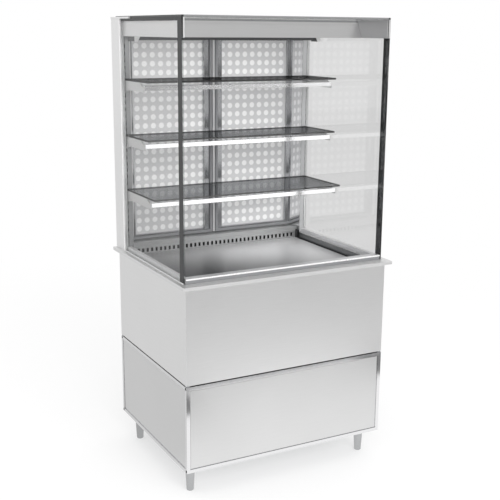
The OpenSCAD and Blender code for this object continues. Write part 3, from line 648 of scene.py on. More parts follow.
# Painted shade: the same glass, tinted darker on the upper shelves, which are seen more along it
SHELF_SHADE_TINTS = {"upper": "#8a8b8c", "middle": "#cbcccd", "lower": "#d9dadb"}
COATED = CoatedGlass(
    "coated_clear_glass", Axis.X, tint="#fbfbfb", edge="#dcdddd", gloss=0.035, roughness=0.04,
    shadow="#ececec",
)
RUBBER = Coating("black_epdm_rubber", "#232425", 0.6, grain_mm=1.5)
GASKET = Coating("grey_pvc_door_gasket", "#848587", 0.5, grain_mm=1.5)
SILICONE = Coating("translucent_silicone_bead", "#d4d5d5", 0.3, grain_mm=4.0)
BLACK_ABS = Coating("black_moulded_abs", "#1d1e1f", 0.4)
GREY_ABS = Coating("grey_moulded_abs", "#8d8f91", 0.45)
PALE_PP = Coating("pale_polypropylene_pipe", "#c3c5c6", 0.38)
OPAL = Coating("opal_acrylic", "#f7f7f5", 0.3)
FOAM = Coating("foamed_polyurethane", "#e3d6a6", 0.9, grain_mm=2.5, grain=0.5)
ENAMEL = Coating("black_stove_enamel", "#1a1b1c", 0.22)
LAMP_ENAMEL = Coating("dark_grey_stove_enamel", "#4c4d4e", 0.3)
COPPER = DrawnMetal("drawn_copper_tube", "#d99573", "#a8623f", 0.3)
FIN_STOCK = DrawnMetal("aluminium_fin_stock", "#d5d7d9", "#b3b6b9", 0.32)


# Mesh building


def finish_mesh(mesh_data: MeshData, name: str) -> Piece:
    """Turns mesh data into an object in the scene.

    Args:
        mesh_data: Mesh under construction; it is freed.
        name: Name of the piece.

    Returns:
        The new object.
    """
    mesh = bpy.data.meshes.new(name)
    mesh_data.to_mesh(mesh)
    mesh_data.free()
    piece = bpy.data.objects.new(name, mesh)
    bpy.context.scene.collection.objects.link(piece)
    return piece


def add_block(mesh_data: MeshData, low: Point, high: Point) -> None:
    """Adds a cuboid between two corners.

    Args:
        mesh_data: Mesh that takes it.
        low: Lowest corner.
        high: Highest corner.
    """
    size = [h - l for l, h in zip(low, high)]
    middle = [(h + l) / 2 for l, h in zip(low, high)]
    matrix = Matrix.Translation(middle) @ Matrix.Diagonal((*size, 1.0))
    bmesh.ops.create_cube(mesh_data, size=1.0, matrix=matrix)


def add_cone(
    mesh_data: MeshData, start: Vector, axis: Vector, length: float, radii: tuple[float, float]
) -> None:
    """Adds a closed cone of 24 sides.

    Args:
        mesh_data: Mesh that takes it.
        start: Centre of its first end.
        axis: Direction in which it runs, of length one.
        length: Length along the axis.
        radii: Radius of the first and the last end.
    """
    turn = axis.to_track_quat("Z", "Y").to_matrix().to_4x4()
    bmesh.ops.create_cone(
        mesh_data, cap_ends=True, segments=24, radius1=radii[0], radius2=radii[1], depth=length,
        matrix=Matrix.Translation(start + axis * length / 2) @ turn,
    )


def add_prism(mesh_data: MeshData, outline: Outline, axis: Axis, start: float, end: float) -> None:
    """Adds a closed prism of one flat outline.

    Args:
        mesh_data: Mesh that takes it.
        outline: Corners in the two other axes, in the frame's order of axes.
        axis: Axis along which the outline is drawn out.
        start: Place of its first end on that axis.
        end: Place of its last end.
    """
    rings = []
    for place in (start, end):
        ring = []
        for corner in outline:
            point = list(corner)
            point.insert(axis.value, place)
            ring.append(mesh_data.verts.new(point))
        rings.append(ring)
    first, last = rings
    faces = [mesh_data.faces.new(ring) for ring in rings]
    for i in range(len(outline)):
        faces.append(mesh_data.faces.new((first[i - 1], first[i], last[i], last[i - 1])))
    bmesh.ops.recalc_face_normals(mesh_data, faces=faces)


def mirrored_prisms(outline: Outline, axis: Axis, start: float, end: float) -> list[Prism]:
    """Gives a prism on the right and its mirror image on the left.

    Args:
        outline: Corners of the right one, X first.
        axis: Axis along which the outline is drawn out.
        start: Place of its first end on that axis.
        end: Place of its last end.

    Returns:
        Both prisms.
    """
    return [([(x * side, other) for x, other in outline], axis, start, end) for side in (-1, 1)]


def half_round(face: float, proud: float, start: float, width: float) -> Outline:
    """Gives the inner points of a half-round edge on a flat face.

    Args:
        face: Place of the face.
        proud: How far the edge stands out from it, with its sign.
        start: Where the edge starts along the face.
        width: Width of the edge.

    Returns:
        Points between its two ends.
    """
    steps = 8
    turns = [math.pi * i / steps for i in range(1, steps)]
    return [
        (face + proud * math.sin(turn), start + width * (1 - math.cos(turn)) / 2)
        for turn in turns
    ]


def ring_of_bars(
    low: Point, high: Point, along: Axis, stiles: tuple[float, float], rail: float
) -> list[Block]:
    """Gives four bars round an upright opening.

    Args:
        low: Lowest corner of the ring.
        high: Highest corner of the ring.
        along: Level axis along which its rails run.
        stiles: Width of the upright bar at its low and at its high end.
        rail: Height of the level bars between them.

    Returns:
        Corners of the bars.
    """
    i = along.value
    inner_low, inner_high = low[i] + stiles[0], high[i] - stiles[1]
    bars = []
    for start, end, foot, head in (
        (low[i], inner_low, low[2], high[2]),
        (inner_high, high[i], low[2], high[2]),
        (inner_low, inner_high, low[2], low[2] + rail),
        (inner_low, inner_high, high[2] - rail, high[2]),
    ):
        near, far = list(low), list(high)
        near[i], near[2], far[i], far[2] = start, foot, end, head
        bars.append((tuple(near), tuple(far)))
    return bars


def bevel_sharp(mesh_data: MeshData, width: float, segments: int = 2) -> None:
    """Rounds every edge that turns by more than 35 degrees.

    Args:
        mesh_data: Mesh to round.
        width: Width of the rounding.
        segments: Number of its steps.
    """
    sharp = [
        e
        for e in mesh_data.edges
        if len(e.link_faces) == 2 and e.calc_face_angle(0.0) > math.radians(35)
    ]
    bmesh.ops.bevel(
        mesh_data, geom=sharp, offset=width, offset_type="OFFSET", segments=segments, profile=0.5,
        affect="EDGES", clamp_overlap=True,
    )


def smooth_by_angle(piece: Piece, angle: float = 40.0) -> None:
    """Shades a piece smooth except over its sharp edges.

    Args:
        piece: Piece to shade.
        angle: Largest turn that is still smooth, in degrees.
    """
    mesh = piece.data
    mesh.polygons.foreach_set("use_smooth", [True] * len(mesh.polygons))
    mesh.set_sharp_from_angle(angle=math.radians(angle))
    mesh.update()
    weighted = piece.modifiers.new("flat_faces", "WEIGHTED_NORMAL")
    weighted.mode = "FACE_AREA"
    weighted.weight = 100
    weighted.keep_sharp = True


@dataclass
class Workshop:
    """Makes, dresses and attaches pieces, and knows the frame's nodes."""

    frame: dict
    materials: dict[str, bpy.types.Material] = field(default_factory=dict)
    count: int = 0
    screw_radius: float = 0.004

    def material(self, finish: Finish) -> bpy.types.Material:
        """Gives the material of a finish, built on first use.

        Args:
            finish: Finish that is wanted.

        Returns:
            The material.
        """
        if finish.name not in self.materials:
            self.materials[finish.name] = finish.material()
        return self.materials[finish.name]

    def body_of(self, node: str) -> str:
        """Gives the body of a node."""
        bodies = self.frame["record"]["behaviour"]["bodies"].items()
        return next(body for body, nodes in bodies if node in nodes)

    def dress(self, piece: Piece, finish: Finish) -> None:
        """Gives a piece its finish alone.

        Args:
            piece: Piece to dress.
            finish: Finish that it gets.
        """
        piece.data.materials.clear()
        piece.data.materials.append(self.material(finish))
        self.count += 1
        log.info("%s dressed with %s", piece.name, finish.name)

    def coat(self, node: str, finish: Finish) -> None:
        """Gives a carried-over node its finish."""
        self.dress(self.frame["nodes"][node], finish)

    def attach(self, piece: Piece, finish: Finish, like: str, replaces: bool = False) -> Piece:
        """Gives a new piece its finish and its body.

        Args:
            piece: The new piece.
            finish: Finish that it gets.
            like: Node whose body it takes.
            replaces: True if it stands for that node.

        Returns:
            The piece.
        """
        self.dress(piece, finish)
        smooth_by_angle(piece)
        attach(piece, self.body_of(like))
        if replaces:
            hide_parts(like)
        return piece

    def rounded(self, node: str, finish: Finish, width_mm: float, segments: int = 2) -> Piece:
        """Rebuilds a node's faces with rounded edges and shows them in its place.

        Args:
            node: Node that is rebuilt.
            finish: Finish that it gets.
            width_mm: Width of the rounding in millimetres.
            segments: Number of its steps.

        Returns:
            The new piece.
        """
        mesh_data = bmesh.new()
        mesh_data.from_mesh(self.frame["nodes"][node].data)
        bmesh.ops.remove_doubles(mesh_data, verts=mesh_data.verts, dist=0.00001)
        bmesh.ops.dissolve_limit(
            mesh_data, angle_limit=math.radians(0.5), verts=mesh_data.verts, edges=mesh_data.edges
        )
        bevel_sharp(mesh_data, width_mm * MM, segments)
        piece = finish_mesh(mesh_data, node + "_rounded")
        return self.attach(piece, finish, node, replaces=True)

    def solids(
        self,
        name: str,
        shapes: list[Block | Prism],
        finish: Finish,
        like: str,
        bevel_mm: float,
        replaces: bool = False,
    ) -> Piece:
        """Makes one piece of bevelled cuboids or prisms.

        Args:
            name: Name of the piece.
            shapes: Two corners of each cuboid; outline, axis, start and end of each prism.
            finish: Finish that it gets.
            like: Node whose body it takes.
            bevel_mm: Width of the rounding in millimetres.
            replaces: True if it stands for that node.

        Returns:
            The new piece.
        """
        mesh_data = bmesh.new()
        for shape in shapes:
            add = add_block if len(shape) == 2 else add_prism
            add(mesh_data, *shape)
        bevel_sharp(mesh_data, bevel_mm * MM)
        return self.attach(finish_mesh(mesh_data, name), finish, like, replaces)

    def screws(self, name: str, places: list[Point], axis: Vector, like: str) -> Piece:
        """Sets pan-head screws with a cross recess on a face.

        Args:
            name: Name of the piece.
            places: Centre of each head on the face.
            axis: Direction out of the face, of length one.
            like: Node whose body it takes.

        Returns:
            The new piece.
        """
        radius = self.screw_radius
        rim_height, crown_height = 0.3 * radius, 0.16 * radius
        shoulder, flat, slot_reach = 0.94 * radius, 0.6 * radius, 0.42 * radius
        slot_half_width, slot_below, slot_above = 0.00035, 0.0003, 0.0002
        mesh_data = bmesh.new()
        side = axis.orthogonal().normalized()
        for place in places:
            start = Vector(place)
            add_cone(mesh_data, start, axis, rim_height, (radius, shoulder))
            start += axis * rim_height
            add_cone(mesh_data, start, axis, crown_height, (shoulder, flat))
            crown = start + axis * crown_height
            for turn in (side, axis.cross(side)):
                reach = Vector([abs(t) * slot_reach + slot_half_width for t in turn])
                low, high = crown - reach, crown + reach
                for i in range(3):
                    if abs(axis[i]) > 0.5:
                        low[i], high[i] = crown[i] - slot_below, crown[i] + slot_above
                add_block(mesh_data, low, high)
        return self.attach(finish_mesh(mesh_data, name), POLISHED, like)


# Sub-assemblies


# Trims keep clear of the faces beside them, by too little to see: of the face that they
# lie on, at their sides, and at the ends of long ones
HAIR = 0.0002
PLAY = 0.0004
SLACK = 0.0005


@dataclass
class Cabinet:
    """Lower cabinet: frame, feet, panels and casing."""

    shop: Workshop
    frame_round_mm: float = 1.4
    sheet_round_mm: float = 0.7
    tube: float = 0.015
    gap: float = 0.004
    recess: float = 0.003
    strip_play: float = 0.0003
    strip_setback: float = 0.0012
    strip_depth: float = 0.003
    louvre: float = 0.008
    louvre_pitch: float = 0.020
    louvre_length: float = 0.300
    louvre_margin: float = 0.040
    louvre_inset: float = 0.080
    # Corners of a hood: distance from the sheet, and height over the slot's upper edge
    hood: tuple[tuple[float, float], ...] = (
        (0.0001, 0.0035), (0.0022, -0.0030), (0.0014, -0.0034), (0.0001, 0.0012)
    )
    hood_overlap: float = 0.002

    def edge_strips(self) -> None:
        """Lays the bright folded edge that closes the gap round each inset panel."""
        panel_low, panel_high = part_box("lower_panels")
        frame_low, frame_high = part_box("base_frame")
        edge, width = self.tube + self.strip_play, self.gap - 2 * self.strip_play
        bottom = panel_low[2] - self.gap + self.strip_play
        top = panel_high[2] + self.gap - self.strip_play
        near = self.recess + self.strip_setback
        far = near + self.strip_depth
        x0, x1, y0, y1 = frame_low[0], frame_high[0], frame_low[1], frame_high[1]
        bars = []
        for along, (x_low, x_high), (y_low, y_high) in (
            (Axis.X, (x0 + edge, x1 - edge), (y0 + near, y0 + far)),
            (Axis.Y, (x0 + near, x0 + far), (y0 + edge, y1 - edge)),
            (Axis.Y, (x1 - far, x1 - near), (y0 + edge, y1 - edge)),
        ):
            low, high = (x_low, y_low, bottom), (x_high, y_high, top)
            bars += ring_of_bars(low, high, along, (width, width), width)
        self.shop.solids("panel_edge_strips", bars, BRIGHT_FRAME, "lower_panels", 0.3)

    def louvre_hoods(self) -> None:
        """Presses a sloped hood over each air slot of the rear panel."""
        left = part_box("rear_panels")[0][0] + self.louvre_inset
        box_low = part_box("control_box")[0]
        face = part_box("base_frame")[1][1] - self.recess
        floor, ceiling = (corner[2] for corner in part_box("lower_panels"))
        length, margin, overlap = self.louvre_length, self.louvre_margin, self.hood_overlap
        shapes = []
        z = floor + margin
        while z <= ceiling - margin + 0.0001:
            for x in (left, left + length + margin):
                if x + length < box_low[0] or z < box_low[2] - self.louvre_pitch:
                    top = z + self.louvre
                    outline = [(face + out, top + up) for out, up in self.hood]
                    shapes.append((outline, Axis.X, x - overlap, x + length + overlap))
            z += self.louvre_pitch
        self.shop.solids("louvre_hoods", shapes, SATIN, "rear_panels", 0.2)

    def rear_screws(self) -> None:
        """Sets the screws of the rear panels."""
        low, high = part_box("rear_panels")
        frame_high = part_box("base_frame")[1]
        inner_low, inner_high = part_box("lower_panels")
        lower_inset, lower_edge = 0.034, 0.014
        upper_inset, upper_edge, upper_inner = 0.02, 0.03, 0.16
        lower = [
            (x, frame_high[1] - self.recess, z)
            for x in (low[0] + lower_inset, 0.0, high[0] - lower_inset)
            for z in (inner_low[2] + lower_edge, inner_high[2] - lower_edge)
        ]
        upper = [
            (x, high[1], z)
            for x in (low[0] + upper_inset, -upper_inner, upper_inner, high[0] - upper_inset)
            for z in (frame_high[2] + upper_edge, high[2] - upper_edge)
        ]
        self.shop.screws("rear_panel_screws", lower + upper, Vector((0, 1, 0)), "rear_panels")

    def build(self) -> None:
        """Dresses the frame, the feet and the sheets."""
        shop = self.shop
        shop.rounded("base_frame", BRIGHT_FRAME, self.frame_round_mm)
        self.edge_strips()
        self.louvre_hoods()
        self.rear_screws()
        shop.coat("base_plate", ZINC)
        for corner in ("front_left", "front_right", "rear_left", "rear_right"):
            shop.rounded("foot_" + corner, TURNED, 0.6)
        shop.rounded("lower_panels", SATIN_PANEL, self.sheet_round_mm)
        shop.rounded("rear_panels", SATIN, 0.4)
        shop.rounded("casing_panels", SATIN_CASING, self.sheet_round_mm)
        shop.coat("inner_frame", ZINC)


@dataclass
class Counter:
    """Counter top with the well, its rim, its pan and its grille."""

    shop: Workshop
    nose_height: float = 0.0075
    nose_depth: float = 0.0035
    strip_depth: float = 0.0012
    baffle_depth: float = 0.005
    baffle_sheet: float = 0.0015
    baffle_inset: float = 0.002
    baffle_drop: float = 0.003
    probe_width: float = 0.0085
    probe_length: float = 0.019
    probe_drop: float = 0.04
    probe_rise: float = 0.012

    def rim_nose(self) -> None:
        """Rolls a nose along the front bar of the rim, its near-white colour a painted highlight,
        over a grey strip that paints the shade under it.
        """
        low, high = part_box("well_rim")
        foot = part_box("countertop")[1][2]
        front, side = low[1], high[0] - 0.0006
        under, touch = high[2] - self.nose_height, front - 0.0001
        arc = half_round(front, -self.nose_depth, under, self.nose_height)
        outline = [(touch, under), *arc, (touch, high[2])]
        nose = (outline, Axis.X, -side, side)
        self.shop.solids("rim_rolled_nose", [nose], HIGHLIGHT_EDGE, "well_rim", 0.1)
        # Painted shade: a grey strip under the nose stands in for the shade that falls there
        strip = ((-side, front - self.strip_depth, foot + PLAY), (side, touch, under - HAIR))
        self.shop.solids("rim_joint_strip", [strip], GASKET, "well_rim", 0.3)

    def grille_baffle(self) -> None:
        """Hangs a black sheet behind the slots of the grille, which paints the shade in the duct
        behind them.
        """
        low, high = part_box("air_grille")
        near = low[1] + self.baffle_depth
        # Painted shade: a black sheet behind the slots
        plate = (
            (low[0] + self.baffle_inset, near, low[2]),
            (high[0] - self.baffle_inset, near + self.baffle_sheet, high[2] - self.baffle_drop),
        )
        self.shop.solids("grille_baffle", [plate], ENAMEL, "air_grille", 0.2)

    def air_probe(self) -> None:
        """Clips the black air probe into the rear right corner of the well."""
        low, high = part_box("air_grille")
        right, back, top = high[0] - PLAY, low[1] - PLAY, high[2]
        left, front = right - self.probe_width, back - self.probe_length
        body = ((left, front, top - self.probe_drop), (right, back, top + self.probe_rise))
        cap = ((left, front - 0.004, top + 0.002), (right, front + 0.002, top + 0.008))
        self.shop.solids("air_probe", [body, cap], BLACK_ABS, "air_grille", 1.2)

    def build(self) -> None:
        """Dresses the counter and the well."""
        shop = self.shop
        shop.rounded("countertop", SATIN_FLAT, 1.6, 3)
        shop.rounded("well_rim", SATIN_RIM, 2.0, 3)
        self.rim_nose()
        self.grille_baffle()
        self.air_probe()
        # The well's walls take steel darkened as painted shade
        shop.rounded("well_liner", SHADED_WELL, 0.8)
        shop.coat("well_insulation", FOAM)
        shop.rounded("display_pan", SATIN_PAN, 1.2, 3)
        shop.rounded("air_grille", SATIN_INNER, 0.4)


@dataclass
class GlassHousing:
    """Side panes, roof, pillars, uprights, canopy and lamp."""

    shop: Workshop
    # Air between a pane and the steel behind it, without which it would show black
    optical_gap: float = 0.0004
    # The left pane mirrors less of the pale room than the right one in the photo
    panes: dict[str, Finish] = field(default_factory=lambda: {"left": COATED, "right": CLEAR})
    # How far the polished reveal leans in behind the upright, and its sheet
    reveal_lean: float = 0.021
    reveal_sheet: float = 0.0012
    pillar_edge_width: float = 0.009
    pillar_edge_proud: float = 0.0014
    pillar_edge_stop: float = 0.006
    pillar_clip: float = 0.002
    # Corners of the canopy's folded top edge, in Y and Z, along its sloping head
    top_fold: tuple[tuple[float, float], ...] = (
        (-0.1283, 1.9409), (-0.1258, 1.9453), (-0.1186, 1.9498), (-0.118, 1.9492),
        (-0.1252, 1.9447), (-0.1277, 1.9405),
    )
    cover_width: float = 0.021
    gusset_reach: float = 0.026
    gusset_drop: float = 0.022
    # Share of a gusset's reach at its foot
    gusset_foot: float = 0.55
    # How far the cable covers and the gussets stand before the face behind them
    plate_proud: float = 0.0016
    bead: float = 0.0034

    def upright_edge(self) -> float:
        """Gives the distance of the uprights' inner edges from the middle plane."""
        vertices = self.shop.frame["nodes"]["shelf_uprights"].data.vertices
        return min(abs(v.co.x) for v in vertices)

    def reveals(self) -> None:
        """Stands the splayed polished reveal between each upright and its door seal."""
        low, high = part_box("shelf_uprights")
        frame_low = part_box("left_door_frame")[0]
        inner = self.upright_edge()
        front, back = low[1] + 0.0006, frame_low[1] - SLACK
        near, far = inner - 0.0003, inner - self.reveal_lean
        outline = [
            (near, front), (far, back), (far + self.reveal_sheet, back), (near, front + 0.003)
        ]
        shapes = mirrored_prisms(outline, Axis.Z, frame_low[2] + MM, high[2] - SLACK)
        self.shop.solids("upright_reveals", shapes, MIRROR, "shelf_uprights", 0.2)

    def pillar_edges(self) -> None:
        """Rolls an edge along the front corner of each pillar, its near-white colour a painted
        highlight.
        """
        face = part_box("rear_pillars")[1][0] - self.pillar_clip
        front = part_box("right_side_glass")[1][1]
        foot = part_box("countertop")[1][2] + SLACK
        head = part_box("canopy")[1][2] - self.pillar_edge_stop
        width, sunk = self.pillar_edge_width, face - PLAY
        arc = half_round(face, self.pillar_edge_proud, front, width)
        outline = [(sunk, front + HAIR), *arc, (sunk, front + width)]
        shapes = mirrored_prisms(outline, Axis.Z, foot, head)
        self.shop.solids("pillar_rolled_edges", shapes, HIGHLIGHT_EDGE, "rear_pillars", 0.1)

    def canopy_trims(self) -> None:
        """Folds the canopy's top edge back in darker steel that paints the shade under the roof's
        edge, and closes the right pane's edge beside it.
        """
        low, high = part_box("canopy")
        fold = (list(self.top_fold), Axis.X, low[0] + MM, high[0] - MM)
        self.shop.solids("canopy_top_fold", [fold], SHADED_FOLD, "canopy", 0.1)
        pane_low, pane_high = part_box("right_side_glass")
        cap = (
            (pane_low[0] - PLAY, pane_low[1] - 0.0012, low[2]),
            (pane_high[0] + 0.0003, pane_low[1] - HAIR, pane_high[2]),
        )
        self.shop.solids("canopy_end_cap", [cap], SATIN_FLAT, "canopy", 0.3)

    def rim_bedding(self) -> None:
        """Fills the slit between the rim and each side pane with pale silicone."""
        low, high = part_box("well_rim")
        near, far = high[0] + 0.00005, high[0] + 0.00025
        for side, (start, end) in (("left", (-far, -near)), ("right", (near, far))):
            bed = ((start, low[1] + MM, low[2] + 0.0003), (end, high[1] - MM, high[2] - SLACK))
            self.shop.solids(side + "_pane_bedding", [bed], SILICONE, "well_rim", 0.02)

    def cable_cover(self) -> None:
        """Clips the cover of the lamp cable over the slots of each upright."""
        low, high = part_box("shelf_uprights")
        inner = self.upright_edge()
        near, far = inner - HAIR, inner + self.cover_width
        # Painted light and shade: the left cover is a darker and the right one a paler copy of the
        # same steel
        for side, (start, end), finish in (
            ("left", (-far, -near), SHADED_COVER),
            ("right", (near, far), LIT_COVER),
        ):
            cover = (
                (start, low[1] - self.plate_proud, low[2] + MM), (end, low[1] - HAIR, high[2] - MM)
            )
            self.shop.solids(side + "_cable_cover", [cover], finish, "shelf_uprights", 0.4)

    def lamp_brackets(self) -> None:
        """Hangs a small pale gusset before each end of the lamp bar."""
        low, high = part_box("lamp_housing")
        near, top = high[0] - 0.0006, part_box("canopy")[0][2] - PLAY
        foot = top - self.gusset_drop
        gusset = [
            (near, top), (near - self.gusset_reach, top),
            (near - self.gusset_reach * self.gusset_foot, foot), (near, foot),
        ]
        shapes = mirrored_prisms(gusset, Axis.Y, low[1] - self.plate_proud, low[1] - PLAY)
        self.shop.solids("lamp_end_brackets", shapes, SATIN_PALE, "lamp_housing", 0.2)

    def silicone(self) -> None:
        """Runs silicone along the foot of each pane and down its rear edge."""
        low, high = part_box("right_side_glass")
        inner, outer, foot, rear = low[0], high[0], low[2], high[1]
        bead = self.bead
        foot_line = [(outer, foot), (outer + bead, foot), (outer, foot + bead)]
        rear_line = [(inner, rear), (inner, rear - bead), (inner - bead, rear)]
        rim_top, canopy_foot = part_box("well_rim")[1][2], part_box("canopy")[0][2]
        shapes = [
            *mirrored_prisms(foot_line, Axis.Y, low[1] + MM, rear - MM),
            *mirrored_prisms(rear_line, Axis.Z, rim_top + SLACK, canopy_foot - SLACK),
        ]
        self.shop.solids("silicone_beads", shapes, SILICONE, "left_side_glass", 0.5)

    def side_panes(self) -> None:
        """Dresses both side panes and draws their inner faces off the steel."""
        for side, glass in self.panes.items():
            node = side + "_side_glass"
            low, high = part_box(node)
            outer = low[0] if side == "left" else high[0]
            finish = PrintedGlass(side + "_printed_glass", glass, outer, low[1], high[2])
            pane = self.shop.rounded(node, finish, 0.8)
            middle = (low[0] + high[0]) / 2
            for vertex in pane.data.vertices:
                if abs(vertex.co.x) < abs(middle):
                    vertex.co.x += math.copysign(self.optical_gap, middle)

    def build(self) -> None:
        """Dresses the upper part of the case."""
        shop = self.shop
        self.side_panes()
        low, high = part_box("glass_roof")
        shop.rounded("glass_roof", BorderedRoof("bordered_roof_glass", high[0], low[1]), 0.8)
        shop.rounded("rear_pillars", SATIN_PALE, 1.6, 3)
        shop.rounded("shelf_uprights", SATIN_SLOTTED, 0.4)
        self.reveals()
        self.pillar_edges()
        self.canopy_trims()
        self.rim_bedding()
        self.cable_cover()
        self.lamp_brackets()
        self.silicone()
        shop.rounded("canopy", SATIN, 0.8)
        plates = shop.rounded("top_side_plates", SATIN_PALE, 0.6)
        # Painted shade: the right plate's faces take a darker copy of the steel
        plates.data.materials.append(shop.material(SATIN_SHADED))
        for face in plates.data.polygons:
            face.material_index = int(face.center.x > 0)
        shop.rounded("lamp_housing", LAMP_ENAMEL, 0.8)
        shop.coat("lamp_cover", OPAL)


@dataclass
class Shelving:
    """Glass shelves with their rails and brackets."""

    shop: Workshop

    def build(self) -> None:
        """Dresses the shelves."""
        # Each shelf's tint is a painted shade of the same glass
        for level, tint in SHELF_SHADE_TINTS.items():
            glass = replace(SMOKED, name=level + "_tinted_glass", tint=tint)
            self.shop.rounded(level + "_shelf", glass, 1.0)
        self.shop.rounded("shelf_brackets", SATIN, 0.5)
        self.shop.rounded("shelf_rails", BRIGHT_RAIL, 1.6, 3)


@dataclass
class RearDoors:
    """Two hinged rear doors in their surround."""

    shop: Workshop
    # Dots of a panel: their numbers, their pitch and the first one's distance from the bead
    columns: int = 9
    rows: int = 22
    pitch_x: float = 0.0395
    pitch_z: float = 0.0398
    first_dot: float = 0.0125
    bead_stile: float = 0.013
    bead_meeting: float = 0.008
    bead_rail: float = 0.007
    bead_depth: float = 0.004
    trim_width: float = 0.0105
    seal_width: float = 0.014
    # Each layer of the gasket: the share of its width taken in, and where it starts and
    # ends as shares of its depth
    gasket_layers: tuple[Point, ...] = ((0.0, 0.72, 1.0), (0.22, 0.48, 0.72), (0.08, 0.0, 0.48))
    strip: float = 0.0038
    strip_gap: float = 0.0007
    strip_inset: float = 0.004

    def meeting_strip(self, side: str) -> None:
        """Screws a narrow bright strip along the meeting edge of a door.

        Args:
            side: "left" or "right".
        """
        low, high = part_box(side + "_door_frame")
        seal_low, seal_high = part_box(side + "_door_seal")
        start, end = self.strip_gap, self.strip_gap + self.strip
        if side == "left":
            start, end = -end, -start
        bar = (
            (start, seal_low[1] + 0.0008, low[2] + self.strip_inset),
            (end, seal_high[1] - HAIR, high[2] - self.strip_inset),
        )
        self.shop.solids(side + "_meeting_strip", [bar], BEAD, side + "_door_frame", 0.6)

    def bead(self, side: str) -> None:
        """Lays the bright glazing bead round a panel, inside its frame.

        Args:
            side: "left" or "right".
        """
        low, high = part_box(side + "_door_panel")
        node = side + "_door_frame"
        stiles = (self.bead_meeting, self.bead_stile)
        if side == "left":
            stiles = (self.bead_stile, self.bead_meeting)
        bars = ring_of_bars(
            (low[0], low[1] - self.bead_depth, low[2]), (high[0], low[1] - HAIR, high[2]), Axis.X,
            stiles, self.bead_rail,
        )
        self.shop.solids(side + "_glazing_bead", bars, BEAD, node, 1.2)
        if side == "left":
            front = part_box(node)[0][1]
            trim = (
                (low[0] - self.trim_width, front - SLACK, low[2]),
                (low[0] - 0.0003, front - 0.0001, high[2]),
            )
            self.shop.solids("left_hinge_trim", [trim], BEAD, node, 0.1)

    def gasket(self, side: str) -> None:
        """Builds the door gasket: a flat foot, a bellows fold and a soft bulb.

        Args:
            side: "left" or "right".
        """
        node = side + "_door_seal"
        low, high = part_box(node)
        depth = high[1] - low[1]
        bars = []
        for inset, start, end in self.gasket_layers:
            shift = inset * self.seal_width
            bar = self.seal_width - 2 * shift
            bars += ring_of_bars(
                (low[0] + shift, low[1] + start * depth, low[2] + shift),
                (high[0] - shift, low[1] + end * depth, high[2] - shift), Axis.X, (bar, bar), bar,
            )
        self.shop.solids(node + "_gasket", bars, GASKET, node, 0.9, replaces=True)

    def dotted_panel(self, side: str) -> None:
        """Prints the dots of a panel, counted from its bead at the meeting stile.

        Args:
            side: "left" or "right".
        """
        low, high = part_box(side + "_door_panel")
        inner = min(abs(low[0]), abs(high[0])) + self.bead_meeting + self.first_dot
        first_x = inner
        if side == "left":
            first_x = -inner - self.pitch_x * (self.columns - 1)
        first_z = (low[2] + high[2]) / 2 - self.pitch_z * (self.rows - 1) / 2
        finish = DottedPanel(side + "_dotted_panel", first_x, first_z, self.pitch_x, self.pitch_z)
        self.shop.rounded(side + "_door_panel", finish, 0.4)

    def build(self) -> None:
        """Dresses the doors and their surround."""
        shop = self.shop
        shop.rounded("door_surround", SATIN_INNER, 1.0)
        shop.coat("hinge_pins", POLISHED)
        for side in ("left", "right"):
            shop.rounded(side + "_door_frame", ANODISED, 0.8)
            self.bead(side)
            self.dotted_panel(side)
            self.gasket(side)
            self.meeting_strip(side)
            shop.rounded(side + "_door_handle", POLISHED, 0.8)


@dataclass
class CoolingUnit:
    """Evaporator, fans, compressor, condenser, pipes and drain."""

    shop: Workshop

    def build(self) -> None:
        """Dresses the cooling unit."""
        shop = self.shop
        shop.coat("evaporator", FIN_STOCK)
        shop.coat("condenser", FIN_STOCK)
        shop.rounded("fan_plate", ZINC, 0.4)
        shop.rounded("condenser_shroud", ZINC, 0.4)
        for node in ("evaporator_fan_left", "evaporator_fan_right", "condenser_fan"):
            shop.coat(node, BLACK_ABS)
        shop.coat("drain_pipe", PALE_PP)
        shop.rounded("condensate_tray", ZINC, 0.6)
        shop.coat("compressor", ENAMEL)
        shop.coat("compressor_mounts", RUBBER)
        shop.coat("refrigerant_pipes", COPPER)


@dataclass
class Controls:
    """Controls and cable gland on the service side."""

    shop: Workshop

    def build(self) -> None:
        """Dresses the controls."""
        shop = self.shop
        shop.rounded("control_box", GREY_ABS, 0.8)
        shop.rounded("controller", BLACK_ABS, 0.5)
        for node in ("key_up", "key_down"):
            shop.coat(node, GREY_ABS)
        for node in ("power_switch", "light_switch"):
            shop.rounded(node, BLACK_ABS, 0.4)
        shop.coat("cable_gland", BLACK_ABS)


# Studio


# Brightness of the white room as it is seen through glass
THROUGH_GLASS = 0.84
# What the rounded edges of the left corner mirror
CORNER_GLOW = 0.82
WHITE = linear("#ffffff")


